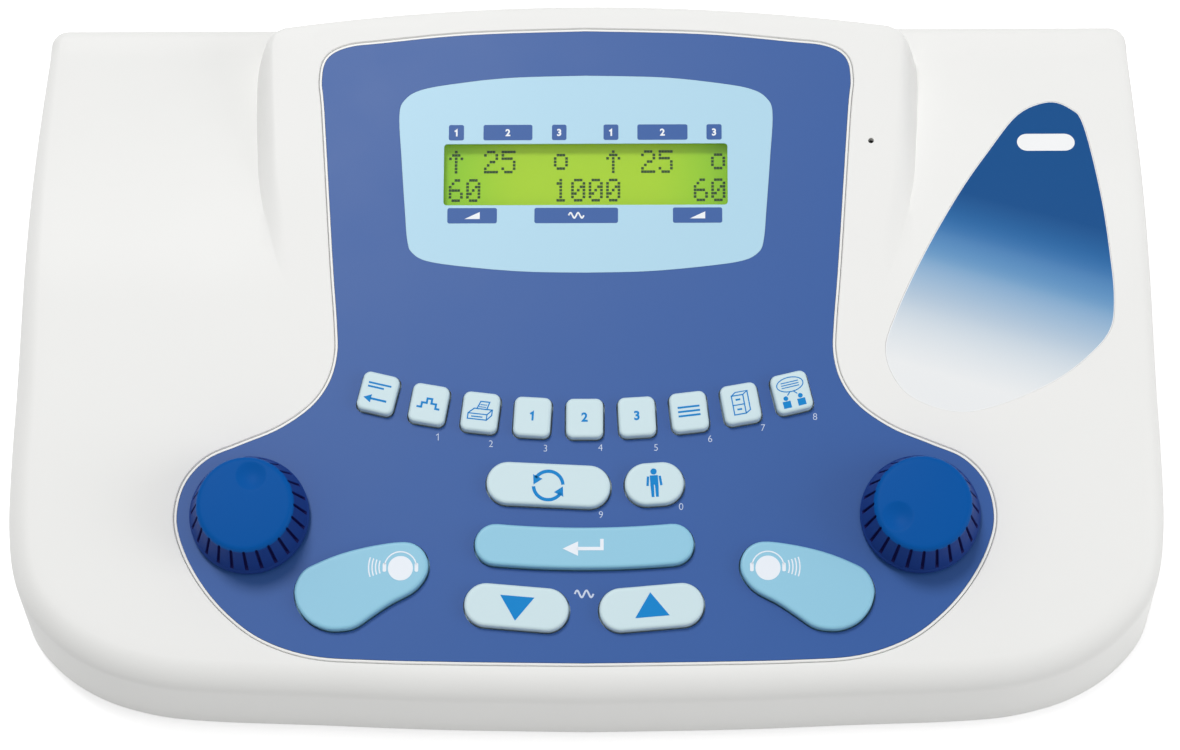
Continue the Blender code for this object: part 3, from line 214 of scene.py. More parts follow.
def moved(mesh, place):
    mesh.transform(place)
    return mesh


def boolean(mesh, toolMesh, operation):
    pair = []
    for data in (mesh, toolMesh):
        helper = bpy.data.objects.new("helper", data)
        bpy.context.scene.collection.objects.link(helper)
        pair.append(helper)
    change = pair[0].modifiers.new("change", "BOOLEAN")
    change.operation = operation
    change.solver = "EXACT"
    change.object = pair[1]
    graph = bpy.context.evaluated_depsgraph_get()
    result = bpy.data.meshes.new_from_object(pair[0].evaluated_get(graph))
    for helper in pair:
        data = helper.data
        bpy.data.objects.remove(helper)
        bpy.data.meshes.remove(data)
    return result


def cutAway(mesh, tool, place=Matrix.Identity(4)):
    return boolean(mesh, moved(tool, place), "DIFFERENCE")


# materials: every finish has its own grain, mottle and roughness
def srgb(*values):
    return tuple(v / 255 / 12.92 if v <= 10 else ((v / 255 + 0.055) / 1.055) ** 2.4 for v in values)


# colour, roughness, grain strength, grain scale, mottle, specular level, metallic
finishes = {
    "caseWhite": ((238, 238, 236), 0.50, 0.10, 2600, 0.012, 0.35, 0.0),
    "rimWhite": ((240, 240, 238), 0.38, 0.06, 2600, 0.01, 0.50, 0.0),
    "baseGrey": ((172, 172, 170), 0.55, 0.25, 1800, 0.03, 0.50, 0.0),
    "filmBlue": ((44, 88, 157), 0.38, 0.08, 1500, 0.02, 0.26, 0.0),
    "filmPale": ((172, 212, 232), 0.36, 0.08, 1500, 0.012, 0.35, 0.0),
    "printWhite": ((236, 240, 244), 0.45, 0.03, 3000, 0.01, 0.50, 0.0),
    "printSilver": ((196, 208, 230), 0.45, 0.03, 3000, 0.01, 0.50, 0.0),
    "printBlue": ((54, 94, 160), 0.40, 0.04, 3000, 0.02, 0.20, 0.0),
    "keyPale": ((202, 224, 230), 0.46, 0.10, 2400, 0.015, 0.50, 0.0),
    "keyBlue": ((138, 196, 221), 0.44, 0.10, 2400, 0.015, 0.50, 0.0),
    "signBlue": ((14, 133, 206), 0.42, 0.03, 3000, 0.03, 0.10, 0.0),
    "signWhite": ((232, 238, 246), 0.42, 0.03, 3000, 0.01, 0.50, 0.0),
    "knobBlue": ((2, 84, 162), 0.50, 0.10, 2200, 0.03, 0.07, 0.0),
    # knob skirt and grooves: the knob's blue darkened, as painted shade on its sides and deeper painted shade
    # in the grooves
    "knobSkirtPaintedShade": ((28, 58, 128), 0.50, 0.10, 2200, 0.03, 0.08, 0.0),
    "knobGroovePaintedShade": ((26, 24, 84), 0.50, 0.10, 2200, 0.03, 0.05, 0.0),
    "bezelBlack": ((26, 28, 26), 0.50, 0.05, 1500, 0.05, 0.50, 0.0),
    "lcdDot": ((22, 60, 10), 0.60, 0.02, 3000, 0.05, 0.10, 0.0),
    "boardGreen": ((36, 96, 60), 0.42, 0.12, 900, 0.10, 0.50, 0.0),
    "steel": ((190, 190, 188), 0.30, 0.06, 1800, 0.05, 0.50, 1.0),
    "plateMetal": ((168, 170, 172), 0.42, 0.18, 1500, 0.04, 0.50, 0.7),
    "rubberDark": ((52, 53, 56), 0.78, 0.35, 1400, 0.08, 0.50, 0.0),
    "socketBlack": ((30, 31, 33), 0.45, 0.15, 1900, 0.06, 0.50, 0.0),
    "ribbonGrey": ((170, 170, 175), 0.60, 0.15, 1200, 0.06, 0.50, 0.0),
    "labelBorder": ((243, 244, 245), 0.28, 0.03, 2000, 0.01, 0.50, 0.0),
}
surfaceNoise = {"mottleScale": 38, "mottleDetail": 4, "roughSpread": 0.12, "grainDetail": 2,
                "bumpDistance": 0.0001}


# A node with its settings; an input is given a value, or the socket that feeds it
def addNode(tree, kind, inputs, **settings):
    node = tree.nodes.new(kind)
    for title, value in settings.items():
        setattr(node, title, value)
    for key, value in inputs.items():
        if isinstance(value, bpy.types.NodeSocket):
            tree.links.new(value, node.inputs[key])
        else:
            node.inputs[key].default_value = value
    return node


# Plastic, film, rubber or metal: fine grain in the bump, slow mottle in colour and roughness
def surface(name, colour, roughness, grain, grainScale, mottle, specular, metallic):
    material = bpy.data.materials.new(name)
    material.use_nodes = True
    tree = material.node_tree
    shader = tree.nodes["Principled BSDF"]
    shader.inputs["Metallic"].default_value = metallic
    shader.inputs["Specular IOR Level"].default_value = specular
    noise = surfaceNoise
    where = addNode(tree, "ShaderNodeTexCoord", {}).outputs["Object"]
    slow = addNode(tree, "ShaderNodeTexNoise", {"Scale": noise["mottleScale"], "Detail": noise["mottleDetail"],
                                                "Vector": where}).outputs["Fac"]
    tone = srgb(*colour)
    tint = addNode(tree, "ShaderNodeMix", {"Factor": slow}, data_type="RGBA")
    tint.inputs["A"].default_value = (*[c * (1 - mottle) for c in tone], 1)
    tint.inputs["B"].default_value = (*[min(c * (1 + mottle), 1) for c in tone], 1)
    tree.links.new(tint.outputs["Result"], shader.inputs["Base Color"])
    spread = noise["roughSpread"]
    rough = addNode(tree, "ShaderNodeMapRange", {"Value": slow, "To Min": roughness * (1 - spread),
                                                 "To Max": min(roughness * (1 + spread), 1)})
    tree.links.new(rough.outputs["Result"], shader.inputs["Roughness"])
    fine = addNode(tree, "ShaderNodeTexNoise", {"Scale": grainScale, "Detail": noise["grainDetail"],
                                                "Vector": where})
    bump = addNode(tree, "ShaderNodeBump", {"Strength": grain, "Distance": noise["bumpDistance"],
                                            "Height": fine.outputs["Fac"]})
    tree.links.new(bump.outputs["Normal"], shader.inputs["Normal"])
    return material


materials = {name: surface(name, *values) for name, values in finishes.items()}
paneFinish = {"colour": (225, 240, 225), "roughness": 0.06, "grain": 0.01, "grainScale": 900, "mottle": 0.01,
              "specular": 0.3, "metallic": 0.0}
materials["paneClear"] = surface("paneClear", **paneFinish)
materials["paneClear"].node_tree.nodes["Principled BSDF"].inputs["Alpha"].default_value = 0.03


def objectAxes(tree):
    where = tree.nodes["Texture Coordinate"].outputs["Object"]
    return addNode(tree, "ShaderNodeSeparateXYZ", {"Vector": where})


# Yellow-green display ground, brighter towards the middle; its emission is a painted glow that lightens the
# shade cast into the display window
lcdGround = {"centre": (152, 191, 14), "edge": (128, 184, 8), "fadeStart": 0.020, "fadeEnd": 0.050,
             "glow": 0.26}


def lcdGlow(values):
    material = surface("lcdGreen", values["centre"], 0.45, 0.03, 1200, 0.02, 0.1, 0.0)
    tree = material.node_tree
    shader = tree.nodes["Principled BSDF"]
    offCentre = addNode(tree, "ShaderNodeMath", {0: objectAxes(tree).outputs["X"]}, operation="ABSOLUTE")
    fade = addNode(tree, "ShaderNodeMapRange", {"From Min": values["fadeStart"], "From Max": values["fadeEnd"],
                                                "Value": offCentre.outputs[0]}, interpolation_type="SMOOTHSTEP")
    ground = addNode(tree, "ShaderNodeMix", {"Factor": fade.outputs["Result"]}, data_type="RGBA")
    ground.inputs["A"].default_value = (*srgb(*values["centre"]), 1)
    ground.inputs["B"].default_value = (*srgb(*values["edge"]), 1)
    # painted glow: the ground's own colour is emitted to lighten the shade under the window's edge
    for title in ("Base Color", "Emission Color"):
        tree.links.new(ground.outputs["Result"], shader.inputs[title])
    shader.inputs["Emission Strength"].default_value = values["glow"]
    return material


materials["lcdGreen"] = lcdGlow(lcdGround)

# Blue at the rear, through pale blue, to white at the front of the wing
labelFade = {
    "start": 0.022, "end": 0.090, "lean": 0.30,
    "stops": ((0.00, (239, 241, 242)), (0.30, (199, 213, 226)), (0.56, (130, 169, 206)), (0.75, (70, 124, 179)),
              (1.00, (22, 80, 140))),
}


def labelPrint(values):
    material = surface("labelPrint", (124, 170, 203), 0.26, 0.03, 1500, 0.01, 0.12, 0.0)
    tree = material.node_tree
    axes = objectAxes(tree)
    lean = addNode(tree, "ShaderNodeMath", {0: axes.outputs["X"], 1: values["lean"], 2: axes.outputs["Y"]},
                   operation="MULTIPLY_ADD")
    along = addNode(tree, "ShaderNodeMapRange", {"From Min": values["start"], "From Max": values["end"],
                                                 "Value": lean.outputs[0]})
    ramp = addNode(tree, "ShaderNodeValToRGB", {"Fac": along.outputs["Result"]})
    ramp.color_ramp.interpolation = "CARDINAL"
    while len(ramp.color_ramp.elements) < len(values["stops"]):
        ramp.color_ramp.elements.new(0.5)
    for element, (place, colour) in zip(ramp.color_ramp.elements, values["stops"]):
        element.position = place
        element.color = (*srgb(*colour), 1)
    tree.links.new(ramp.outputs["Color"], tree.nodes["Principled BSDF"].inputs["Base Color"])
    return material


materials["labelPrint"] = labelPrint(labelFade)
print("materials made:", len(materials))


# A finished piece: its place is in its mesh, and it rides on a body of the frame
def addPiece(name, mesh, finish, body, replaced=(), sharp=32):
    mesh.name = name
    if finish:
        mesh.materials.clear()
        mesh.materials.append(materials[finish])
    mesh.shade_smooth()
    mesh.set_sharp_from_angle(angle=math.radians(sharp))
    piece = bpy.data.objects.new(name, mesh)
    bpy.context.scene.collection.objects.link(piece)
    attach(piece, body)
    if replaced:
        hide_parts(*replaced)
    return piece


def paintNode(nodeName, finish):
    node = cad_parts[nodeName]
    node.data.materials.clear()
    node.data.materials.append(materials[finish])


# case shell
caseShape = {
    "wall": 0.0028, "edge": 0.0080, "rearEdge": 0.0040, "edgeChangeY": -0.0200, "leastEdge": 0.0005,
    "skirt": 0.0035, "rear": 0.1210,
    "humpRearRadius": 0.7350, "humpRearY": 0.1153, "humpCornerX": 0.1042,
    "wingDrop": 0.0203, "wingStartY": 0.0140, "wingEndY": 0.1130,
    "outlineSteps": 6, "edgeRings": 10, "stepLines": 12, "gridPitch": 0.0040,
    "ringKeep": 0.985, "gridReach": 0.20, "gridDepth": 0.125,
    "humpSteps": 4, "humpCoarseSteps": 3, "humpRearSteps": 6,
    "hollowRings": 2, "hollowLines": 3, "hollowPitch": 0.02, "hollowBottom": -0.01,
    "ledgeOut": 0.0030, "ledgeIn": 0.0040, "ledgeLow": -0.0053, "ledgeHigh": -0.0010,
    "labelGap": 0.00008, "labelDepth": 0.0008,
    "rearOpening": (0.146, 0.026, 0.003), "rearOpeningZ": 0.028, "rearOpeningReach": 0.006,
    "micRadius": 0.0010, "micPlace": (0.0977, 0.0121), "micDepth": 0.0090,
}
through = 0.01  # how far a cutting tool reaches past the panel
caseHalf = (
    (0.0000, 0.1210), (0.0900, 0.1210), (0.1440, 0.1210), (0.1680, 0.1210), (0.1780, 0.1210),
    (0.1833, 0.1210), (0.1863, 0.1202), (0.1885, 0.1180), (0.1893, 0.1150), (0.1895, 0.1080),
    (0.1902, 0.0900), (0.1912, 0.0600), (0.1920, 0.0250),
    (0.1926, -0.0100), (0.1933, -0.0350), (0.1935, -0.0520), (0.1931, -0.0640), (0.1916, -0.0760),
    (0.1881, -0.0862), (0.1818, -0.0950), (0.1727, -0.1032), (0.1615, -0.1096), (0.1500, -0.1135),
    (0.1380, -0.1159), (0.1200, -0.1173), (0.0900, -0.1184), (0.0500, -0.1201), (0.0000, -0.1210),
)
humpSide = (
    (0.0978, 0.0150), (0.1000, 0.0226), (0.1010, 0.0280), (0.1021, 0.0390), (0.1038, 0.0486),
    (0.1055, 0.0590), (0.1063, 0.0698), (0.1071, 0.0804), (0.1078, 0.0920), (0.1083, 0.1025),
    (0.1073, 0.1063),
)
# How wide the falling side is, from front to rear
humpWidths = (
    (0.0150, 0.0030), (0.0227, 0.0036), (0.0279, 0.0047), (0.0334, 0.0057), (0.0390, 0.0065),
    (0.0447, 0.0071), (0.0810, 0.0073), (0.0940, 0.0071), (0.1068, 0.0064), (0.1153, 0.0042),
)


def humpTopLine(values, steps):
    side = smoothLine(humpSide, steps)
    radius, corner = values["humpRearRadius"], values["humpCornerX"]
    count = values["humpRearSteps"] * steps
    for k in range(count + 1):
        x = corner * (1 - k / count)
        side.append(Vector((x, values["humpRearY"] - radius + math.sqrt(radius ** 2 - x ** 2))))
    return side


humpCoarse = humpTopLine(caseShape, caseShape["humpCoarseSteps"])
humpArea = humpCoarse + [Vector((-p.x, p.y)) for p in reversed(humpCoarse[:-1])]


def pastHump(p):
    folded = Vector((abs(p.x), p.y))
    distance = distanceTo(folded, humpCoarse, closed=False)
    return -distance if p.y < humpCoarse[0].y or isInside(p, humpArea) else distance


def eased(share):
    share = min(max(share, 0), 1)
    return share * share * (3 - 2 * share)


def stepWidth(y):
    for (lowY, lowWidth), (highY, highWidth) in zip(humpWidths, humpWidths[1:]):
        if y < highY:
            return lowWidth + (highWidth - lowWidth) * max((y - lowY) / (highY - lowY), 0)
    return humpWidths[-1][1]


def deckHeight(y):
    return panel["z"] + (y - panel["y"]) * math.tan(panel["tilt"])


def wingFall(y):
    share = (y - caseShape["wingStartY"]) / (caseShape["wingEndY"] - caseShape["wingStartY"])
    share = min(max(share, 0), 1)
    return caseShape["wingDrop"] * share ** 2 * (3 - share) / 2


def wingHeight(y):
    return deckHeight(y) - wingFall(y)


def caseHeight(p):
    fall = wingFall(p.y)
    if fall > 0:
        fall *= min(max(pastHump(p) / stepWidth(p.y), 0), 1) ** 2
    return deckHeight(p.y) - fall


# The rounded edge's radius: smaller to the rear, and less a wall for the inner side
def edgeRadius(y, wall):
    shape = caseShape
    share = min(max((y - shape["edgeChangeY"]) / (shape["rear"] - shape["edgeChangeY"]), 0), 1)
    return max(shape["edge"] + (shape["rearEdge"] - shape["edge"]) * share - wall, shape["leastEdge"])


# Closed solid under the case's upper surface: edge rings, step lines and an inner grid
def caseSolid(values, outline, wall, ringCount, stepLines, pitch, bottom):
    points, edges = list(outline), [(i, (i + 1) % len(outline)) for i in range(len(outline))]

    def addLine(line, closed):
        start = len(points)
        points.extend(line)
        edges.extend((start + i, start + i + 1) for i in range(len(line) - 1))
        if closed:
            edges.append((start + len(line) - 1, start))

    for k in range(1, ringCount + 1):
        ring = []
        for p, step in zip(outline, outwardSteps(outline)):
            inset = edgeRadius(p.y, wall) * (1 - math.cos(k * quarter / ringCount))
            if distanceTo(p - step * inset, outline, True) > inset * values["ringKeep"]:
                ring.append(p - step * inset)
        addLine(ring, True)
    half = humpTopLine(values, values["humpSteps"])
    for k in range(stepLines):
        side = []
        for i, p in enumerate(half):
            along = (half[min(i + 1, len(half) - 1)] - half[max(i - 1, 0)]).normalized()
            side.append(p + Vector((along.y, -along.x)) * stepWidth(p.y) * k / (stepLines - 1))
        whole = side + [Vector((-p.x, p.y)) for p in reversed(side[:-1])]
        addLine([p for p in whole if isInside(p, outline)], False)
    columns = int(values["gridReach"] / pitch)
    for i in range(-columns, columns + 1):
        for j in range(-columns, columns + 1):
            p = Vector((i * pitch, j * pitch))
            clear = edgeRadius(p.y, wall) + pitch / 2
            if abs(p.y) >= values["gridDepth"] or not isInside(p, outline):
                continue
            if distanceTo(p, outline, True) <= clear:
                continue
            if not -pitch / 3 < pastHump(p) < stepWidth(p.y) + pitch / 3:
                points.append(p)
    flat, _, triangles, _, _, _ = delaunay_2d_cdt(points, edges, [list(range(len(outline)))], 1, 1e-7)
    places = {(round(p.x, 6), round(p.y, 6)): i for i, p in enumerate(outline)}
    vertices, rim = [], [None] * len(outline)
    for index, p in enumerate(flat):
        found = places.get((round(p.x, 6), round(p.y, 6)))
        radius = edgeRadius(p.y, wall)
        reach = radius if found is not None else max(radius - distanceTo(p, outline, True), 0)
        drop = radius - math.sqrt(max(radius ** 2 - reach ** 2, 0))
        vertices.append((p.x, p.y, caseHeight(p) - wall - drop))
        if found is not None:
            rim[found] = index
    faces = [tuple(face) for face in triangles]
    low = len(vertices)
    count = len(outline)
    vertices += [(p.x, p.y, bottom) for p in outline]
    faces += [(rim[(i + 1) % count], rim[i], low + i, low + (i + 1) % count) for i in range(count)]
    faces.append(tuple(reversed(range(low, low + count))))
    return meshFrom("caseSolid", vertices, faces)


def behindRear(outline):
    return [Vector((p.x, min(p.y, caseShape["rear"]))) for p in outline]


# front panel, as it lies in the case
filmHalf = (
    (0.0000, 0.0524), (0.0400, 0.0512), (0.0701, 0.0483), (0.0825, 0.0467), (0.0893, 0.0426),
    (0.0910, 0.0345), (0.0898, 0.0220), (0.0859, -0.0300), (0.0839, -0.0530), (0.0836, -0.0640),
    (0.0861, -0.0738), (0.0921, -0.0824), (0.1028, -0.0901), (0.1158, -0.0957), (0.1265, -0.1006),
    (0.1336, -0.1090), (0.1360, -0.1200), (0.1338, -0.1303), (0.1278, -0.1418), (0.1187, -0.1527),
    (0.1067, -0.1617), (0.0904, -0.1673), (0.0701, -0.1688), (0.0400, -0.1695), (0.0000, -0.1700),
)
filmOutline = bothHalves(filmHalf, 6)
rimOutline = grown(filmOutline, 0.0010)
labelPoints = (
    (0.1601, 0.0884), (0.1492, 0.0831), (0.1381, 0.0676), (0.1272, 0.0505), (0.1146, 0.0275),
    (0.1048, 0.0067), (0.1012, -0.0058), (0.1053, -0.0172), (0.1134, -0.0235), (0.1265, -0.0267),
    (0.1410, -0.0236), (0.1582, -0.0160), (0.1699, -0.0073), (0.1771, 0.0013), (0.1789, 0.0119),
    (0.1782, 0.0275), (0.1761, 0.0507), (0.1718, 0.0785), (0.1676, 0.0855),
)
labelOutline = smoothLine(labelPoints, 6, closed=True)


# A sheet that follows the wing between two heights above its surface
def wingSheet(outline, low, high, innerLines=(), rows=24):
    points = list(outline)
    edges = [(i, (i + 1) % len(outline)) for i in range(len(outline))]
    for line in innerLines:
        start = len(points)
        points += line
        edges += [(start + i, start + (i + 1) % len(line)) for i in range(len(line))]
    lowY, highY = min(p.y for p in outline), max(p.y for p in outline)
    for k in range(1, rows):
        y = lowY + (highY - lowY) * k / rows
        crossings = [a.x + (b.x - a.x) * (y - a.y) / (b.y - a.y)
                     for a, b in zip(outline, outline[1:] + outline[:1]) if (a.y > y) != (b.y > y)]
        points += [Vector((min(crossings), y)), Vector((max(crossings), y))]
        edges.append((len(points) - 2, len(points) - 1))
    flat, _, triangles, _, _, _ = delaunay_2d_cdt(points, edges, [list(range(len(outline)))], 1, 1e-7)
    size = len(flat)
    vertices = [(p.x, p.y, wingHeight(p.y) + high) for p in flat]
    vertices += [(p.x, p.y, wingHeight(p.y) + low) for p in flat]
    faces = [tuple(face) for face in triangles]
    faces += [tuple(size + i for i in reversed(face)) for face in triangles]
    sides = {(face[i], face[(i + 1) % 3]) for face in triangles for i in range(3)}
    faces += [(b, a, size + a, size + b) for a, b in sorted(sides) if (b, a) not in sides]
    return meshFrom("wingSheet", vertices, faces)


# The pocket's wall from its floor up: gap round the rim, and level; the lip is rounded off
pocketLip = ((0.00014, -0.0033), (0.00014, -0.0007), (0.00017, -0.00045), (0.00027, -0.0002),
             (0.00045, -0.00003), (0.00062, 0.0002), (0.00062, 0.0100))


def buildCase():
    shape = caseShape
    outer = behindRear(bothHalves(caseHalf, shape["outlineSteps"]))
    inner = grown(behindRear(bothHalves(caseHalf, 1)), -shape["wall"])
    mesh = caseSolid(shape, outer, 0, shape["edgeRings"], shape["stepLines"],
                     shape["gridPitch"], shape["skirt"])
    hollow = caseSolid(shape, inner, shape["wall"], shape["hollowRings"], shape["hollowLines"],
                       shape["hollowPitch"], shape["hollowBottom"])
    mesh = cutAway(mesh, hollow)
    ledge = slab(grown(rimOutline, shape["ledgeOut"]), shape["ledgeLow"], shape["ledgeHigh"])
    mesh = boolean(mesh, moved(ledge, panelPlace), "UNION")
    pocket = [[(p.x, p.y, z) for p in grown(rimOutline, gap)] for gap, z in pocketLip]
    mesh = cutAway(mesh, loftMesh("pocket", pocket), panelPlace)
    mesh = cutAway(mesh, slab(grown(rimOutline, -shape["ledgeIn"]), -3 * through, through), panelPlace)
    mesh = cutAway(mesh, wingSheet(grown(labelOutline, shape["labelGap"]), -shape["labelDepth"], through))
    rearPlace = Matrix.Translation((0, shape["rear"], shape["rearOpeningZ"]))
    rearPlace = rearPlace @ Matrix.Rotation(-quarter, 4, "X")
    reach = shape["rearOpeningReach"]
    mesh = cutAway(mesh, slab(roundBox(*shape["rearOpening"]), -reach, reach), rearPlace)
    micHole = slab(circlePoints(shape["micRadius"], 24, shape["micPlace"]), -shape["micDepth"], through)
    return cutAway(mesh, micHole, panelPlace)


addPiece("caseShell", buildCase(), "caseWhite", "case", ["upper_housing"], sharp=28)
print("case shell made")


# keys: outlines about their own centres, with the sign that each one carries
keyShape = {"rise": 0.0030, "edge": 0.0010, "edgeSteps": 6, "foot": -0.0033, "gap": 0.0005, "flange": 0.0010,
            "flangeFoot": -0.0043}
rowKeys = {"width": 0.0124, "height": 0.0136, "corner": 0.0024, "radius": 0.2750, "s": -0.0870,
           "spacing": 0.01753, "turnShare": 0.9166}
# Width, height, centre and turn in degrees of the straight keys below the row
pillKeys = {
    "key_cycle": (0.0413, 0.0144, (-0.0120, -0.1099), -2.8),
    "key_person": (0.0197, 0.0144, (0.0233, -0.1096), 3.8),
    "key_down": (0.0346, 0.0145, (-0.0223, -0.1516), -5.0),
    "key_up": (0.0346, 0.0145, (0.0223, -0.1516), 5.0),
}
enterKey = {"s": -0.1316, "width": 0.0728, "height": 0.0139, "radius": 0.3300, "steps": 16, "endSteps": 14}
presentPoints = (
    (0.0958, -0.1453), (0.0932, -0.1395), (0.0878, -0.1363), (0.0796, -0.1331), (0.0693, -0.1306),
    (0.0593, -0.1295), (0.0542, -0.1317), (0.0518, -0.1362), (0.0525, -0.1410), (0.0565, -0.1460),
    (0.0640, -0.1502), (0.0700, -0.1543), (0.0755, -0.1581), (0.0806, -0.1592), (0.0857, -0.1588),
    (0.0910, -0.1561), (0.0947, -0.1512),
)
presentStem = Vector((0.0740, -0.1440))


def enterOutline(values):
    centre, half = (0, values["radius"]), values["height"] / 2
    spread = (values["width"] / 2 - half) / values["radius"]
    low, high = -quarter - spread, -quarter + spread
    outer = arcPoints(centre, values["radius"] + half, low, high, values["steps"])
    inner = arcPoints(centre, values["radius"] - half, high, low, values["steps"])
    ends = []
    for angle, start in ((high, high), (low, low + math.pi)):
        middle = (values["radius"] * math.cos(angle), values["radius"] * (1 + math.sin(angle)))
        ends.append(arcPoints(middle, half, start, start + math.pi, values["endSteps"])[1:-1])
    return outer + ends[0] + inner + ends[1]


def presentOutline(side):
    line = [Vector(p) - presentStem for p in presentPoints]
    if side < 0:
        line = [Vector((-p.x, p.y)) for p in reversed(line)]
    return smoothLine(line, 5, closed=True)


def listKeys():
    names = ("key_clear", "key_step", "key_print", "key_soft_1", "key_soft_2", "key_soft_3",
             "key_menu", "key_store", "key_talk")
    found = {}
    for index, name in enumerate(names):
        angle = (index - (len(names) - 1) / 2) * rowKeys["spacing"] / rowKeys["radius"]
        centre = (rowKeys["radius"] * math.sin(angle),
                  rowKeys["s"] + rowKeys["radius"] * (1 - math.cos(angle)))
        outline = roundBox(rowKeys["width"], rowKeys["height"], rowKeys["corner"], 6)
        found[name] = (outline, centre, angle * rowKeys["turnShare"], "keyPale", "key_pale")
    pills = {name: (roundBox(width, height, height / 2, 12), centre, math.radians(turn), "keyPale", "key_pale")
             for name, (width, height, centre, turn) in pillKeys.items()}
    found["key_cycle"], found["key_person"] = pills["key_cycle"], pills["key_person"]
    found["key_enter"] = (enterOutline(enterKey), (0, enterKey["s"]), 0.0, "keyBlue", "key_blue")
    found["key_down"], found["key_up"] = pills["key_down"], pills["key_up"]
    for side, name in ((-1, "key_present_left"), (1, "key_present_right")):
        centre = (side * presentStem.x, presentStem.y)
        found[name] = (presentOutline(side), centre, 0.0, "keyBlue", "key_blue")
    return found


keys = listKeys()


def keyPlace(name):
    _, centre, turn, _, _ = keys[name]
    return panelPlace @ Matrix.Translation((*centre, 0)) @ Matrix.Rotation(turn, 4, "Z")


def keyMesh(outline):
    values = keyShape

    def ring(inset, z):
        return [(p.x, p.y, z) for p in grown(outline, -inset)]

    rings = [ring(-values["flange"], values["flangeFoot"]), ring(-values["flange"], values["foot"]),
             ring(0, values["foot"])]
    edge = values["edge"]
    for k in range(values["edgeSteps"] + 1):
        angle = k * quarter / values["edgeSteps"]
        rings.append(ring(edge * (1 - math.cos(angle)), values["rise"] - edge * (1 - math.sin(angle))))
    rings.append(ring(edge * 1.25, values["rise"]))
    return loftMesh("key", rings)


for name, (outline, centre, turn, finish, slotName) in keys.items():
    addPiece("cap_" + name, moved(keyMesh(outline), keyPlace(name)), finish, name, [name])
print("keys made:", len(keys))


def keyOpenings(low, high):
    return [slab(turnedOutline(grown(outline, keyShape["gap"]), turn, centre), low, high)
            for outline, centre, turn, _, _ in keys.values()]


# front plate, film and display surround
panelSheets = {
    "filmLow": -0.0005, "plateLow": -0.0030, "plateTop": -0.0008, "rimTop": -0.0001, "rimEdge": 0.00045,
    "bedGap": 0.00015, "surroundGap": 0.00006, "knobHolePlate": 0.0038, "knobHoleFilm": 0.0100,
    "windowPlate": (0.099, 0.0262, 0.0012), "windowSurround": (0.0971, 0.0222, 0.0012, 6, (0, 0.0002)),
    "paneBed": (0.1037, 0.0288, 0.001), "paneBedLow": -0.0023,
}
surroundHalf = (
    (0.0000, 0.0361), (0.0260, 0.0354), (0.0450, 0.0333), (0.0565, 0.0311), (0.0621, 0.0277),
    (0.0641, 0.0220), (0.0631, 0.0060), (0.0617, -0.0120), (0.0606, -0.0237), (0.0586, -0.0282),
    (0.0528, -0.0311), (0.0380, -0.0332), (0.0200, -0.0347), (0.0000, -0.0351),
)
surroundOutline = bothHalves(surroundHalf, 8)
knobPlaces = {"left": Vector((-0.1115, -0.1202)), "right": Vector((0.1115, -0.1202))}


def panelHoles(knobHole, *others):
    holes = keyOpenings(-through, through)
    holes += [slab(circlePoints(*knobHole, centre), -through, through) for centre in knobPlaces.values()]
    return joined(holes + [slab(outline, -through, through) for outline in others])


def buildPlate():
    sheets = panelSheets
    mesh = softSlab(rimOutline, sheets["plateLow"], sheets["rimTop"], sheets["rimEdge"], 5)
    mesh = cutAway(mesh, slab(grown(filmOutline, sheets["bedGap"]), sheets["plateTop"], through))
    mesh = cutAway(mesh, panelHoles((sheets["knobHolePlate"], 32), roundBox(*sheets["windowPlate"])))
    mesh = cutAway(mesh, slab(roundBox(*sheets["paneBed"]), sheets["paneBedLow"], through))
    return moved(mesh, panelPlace)


def buildFilm():
    sheets = panelSheets
    holes = panelHoles((sheets["knobHoleFilm"], 48), grown(surroundOutline, sheets["surroundGap"]))
    return moved(cutAway(slab(filmOutline, sheets["filmLow"], 0), holes), panelPlace)


def buildSurround():
    sheets = panelSheets
    window = slab(roundBox(*sheets["windowSurround"]), -through, through)
    return moved(cutAway(slab(surroundOutline, sheets["filmLow"], 0), window), panelPlace)


addPiece("frontPlate", buildPlate(), "rimWhite", "case", ["front_plate"])
addPiece("frontFilm", buildFilm(), "filmBlue", "case", ["front_film"])
addPiece("displaySurround", buildSurround(), "filmPale", "case", ["display_surround"])
print("front panel made")


# ink: flat signs built from strokes, discs and polygons, in millimetres
ink = {"low": -0.00002, "high": 0.00005, "scale": 0.001}


def stroke(points, width, closed=False):
    line = [Vector(p) for p in points]
    count = len(line)
    rails = []
    for i, p in enumerate(line):
        before = line[i - 1] if closed or i > 0 else None
        after = line[(i + 1) % count] if closed or i < count - 1 else None
        a = (p - before).normalized() if before is not None else (after - p).normalized()
        b = (after - p).normalized() if after is not None else a
        normal = Vector((a.y + b.y, -a.x - b.x)).normalized()
        rails.append(normal * width / 2 / max(normal.dot(Vector((b.y, -b.x))), 0.4))
    right = [p + r for p, r in zip(line, rails)]
    left = [p - r for p, r in zip(line, rails)]
    if closed:
        return [("band", right, left)]
    return [("area", right + list(reversed(left)))]


# A wave of two periods, for stroke
def waveLine(length, height):
    return [(-length / 2 + k * length / 28, height * math.sin(k * math.tau / 14)) for k in range(29)]


def area(points):
    return [("area", [Vector(p) for p in points])]


def disc(centre, radius, sides=28):
    return [("area", circlePoints(radius, sides, centre))]


def arcInk(centre, radius, width, start, end, steps=18):
    start, end = math.radians(start), math.radians(end)
    return [("area", arcPoints(centre, radius + width / 2, start, end, steps)
             + list(reversed(arcPoints(centre, radius - width / 2, start, end, steps))))]


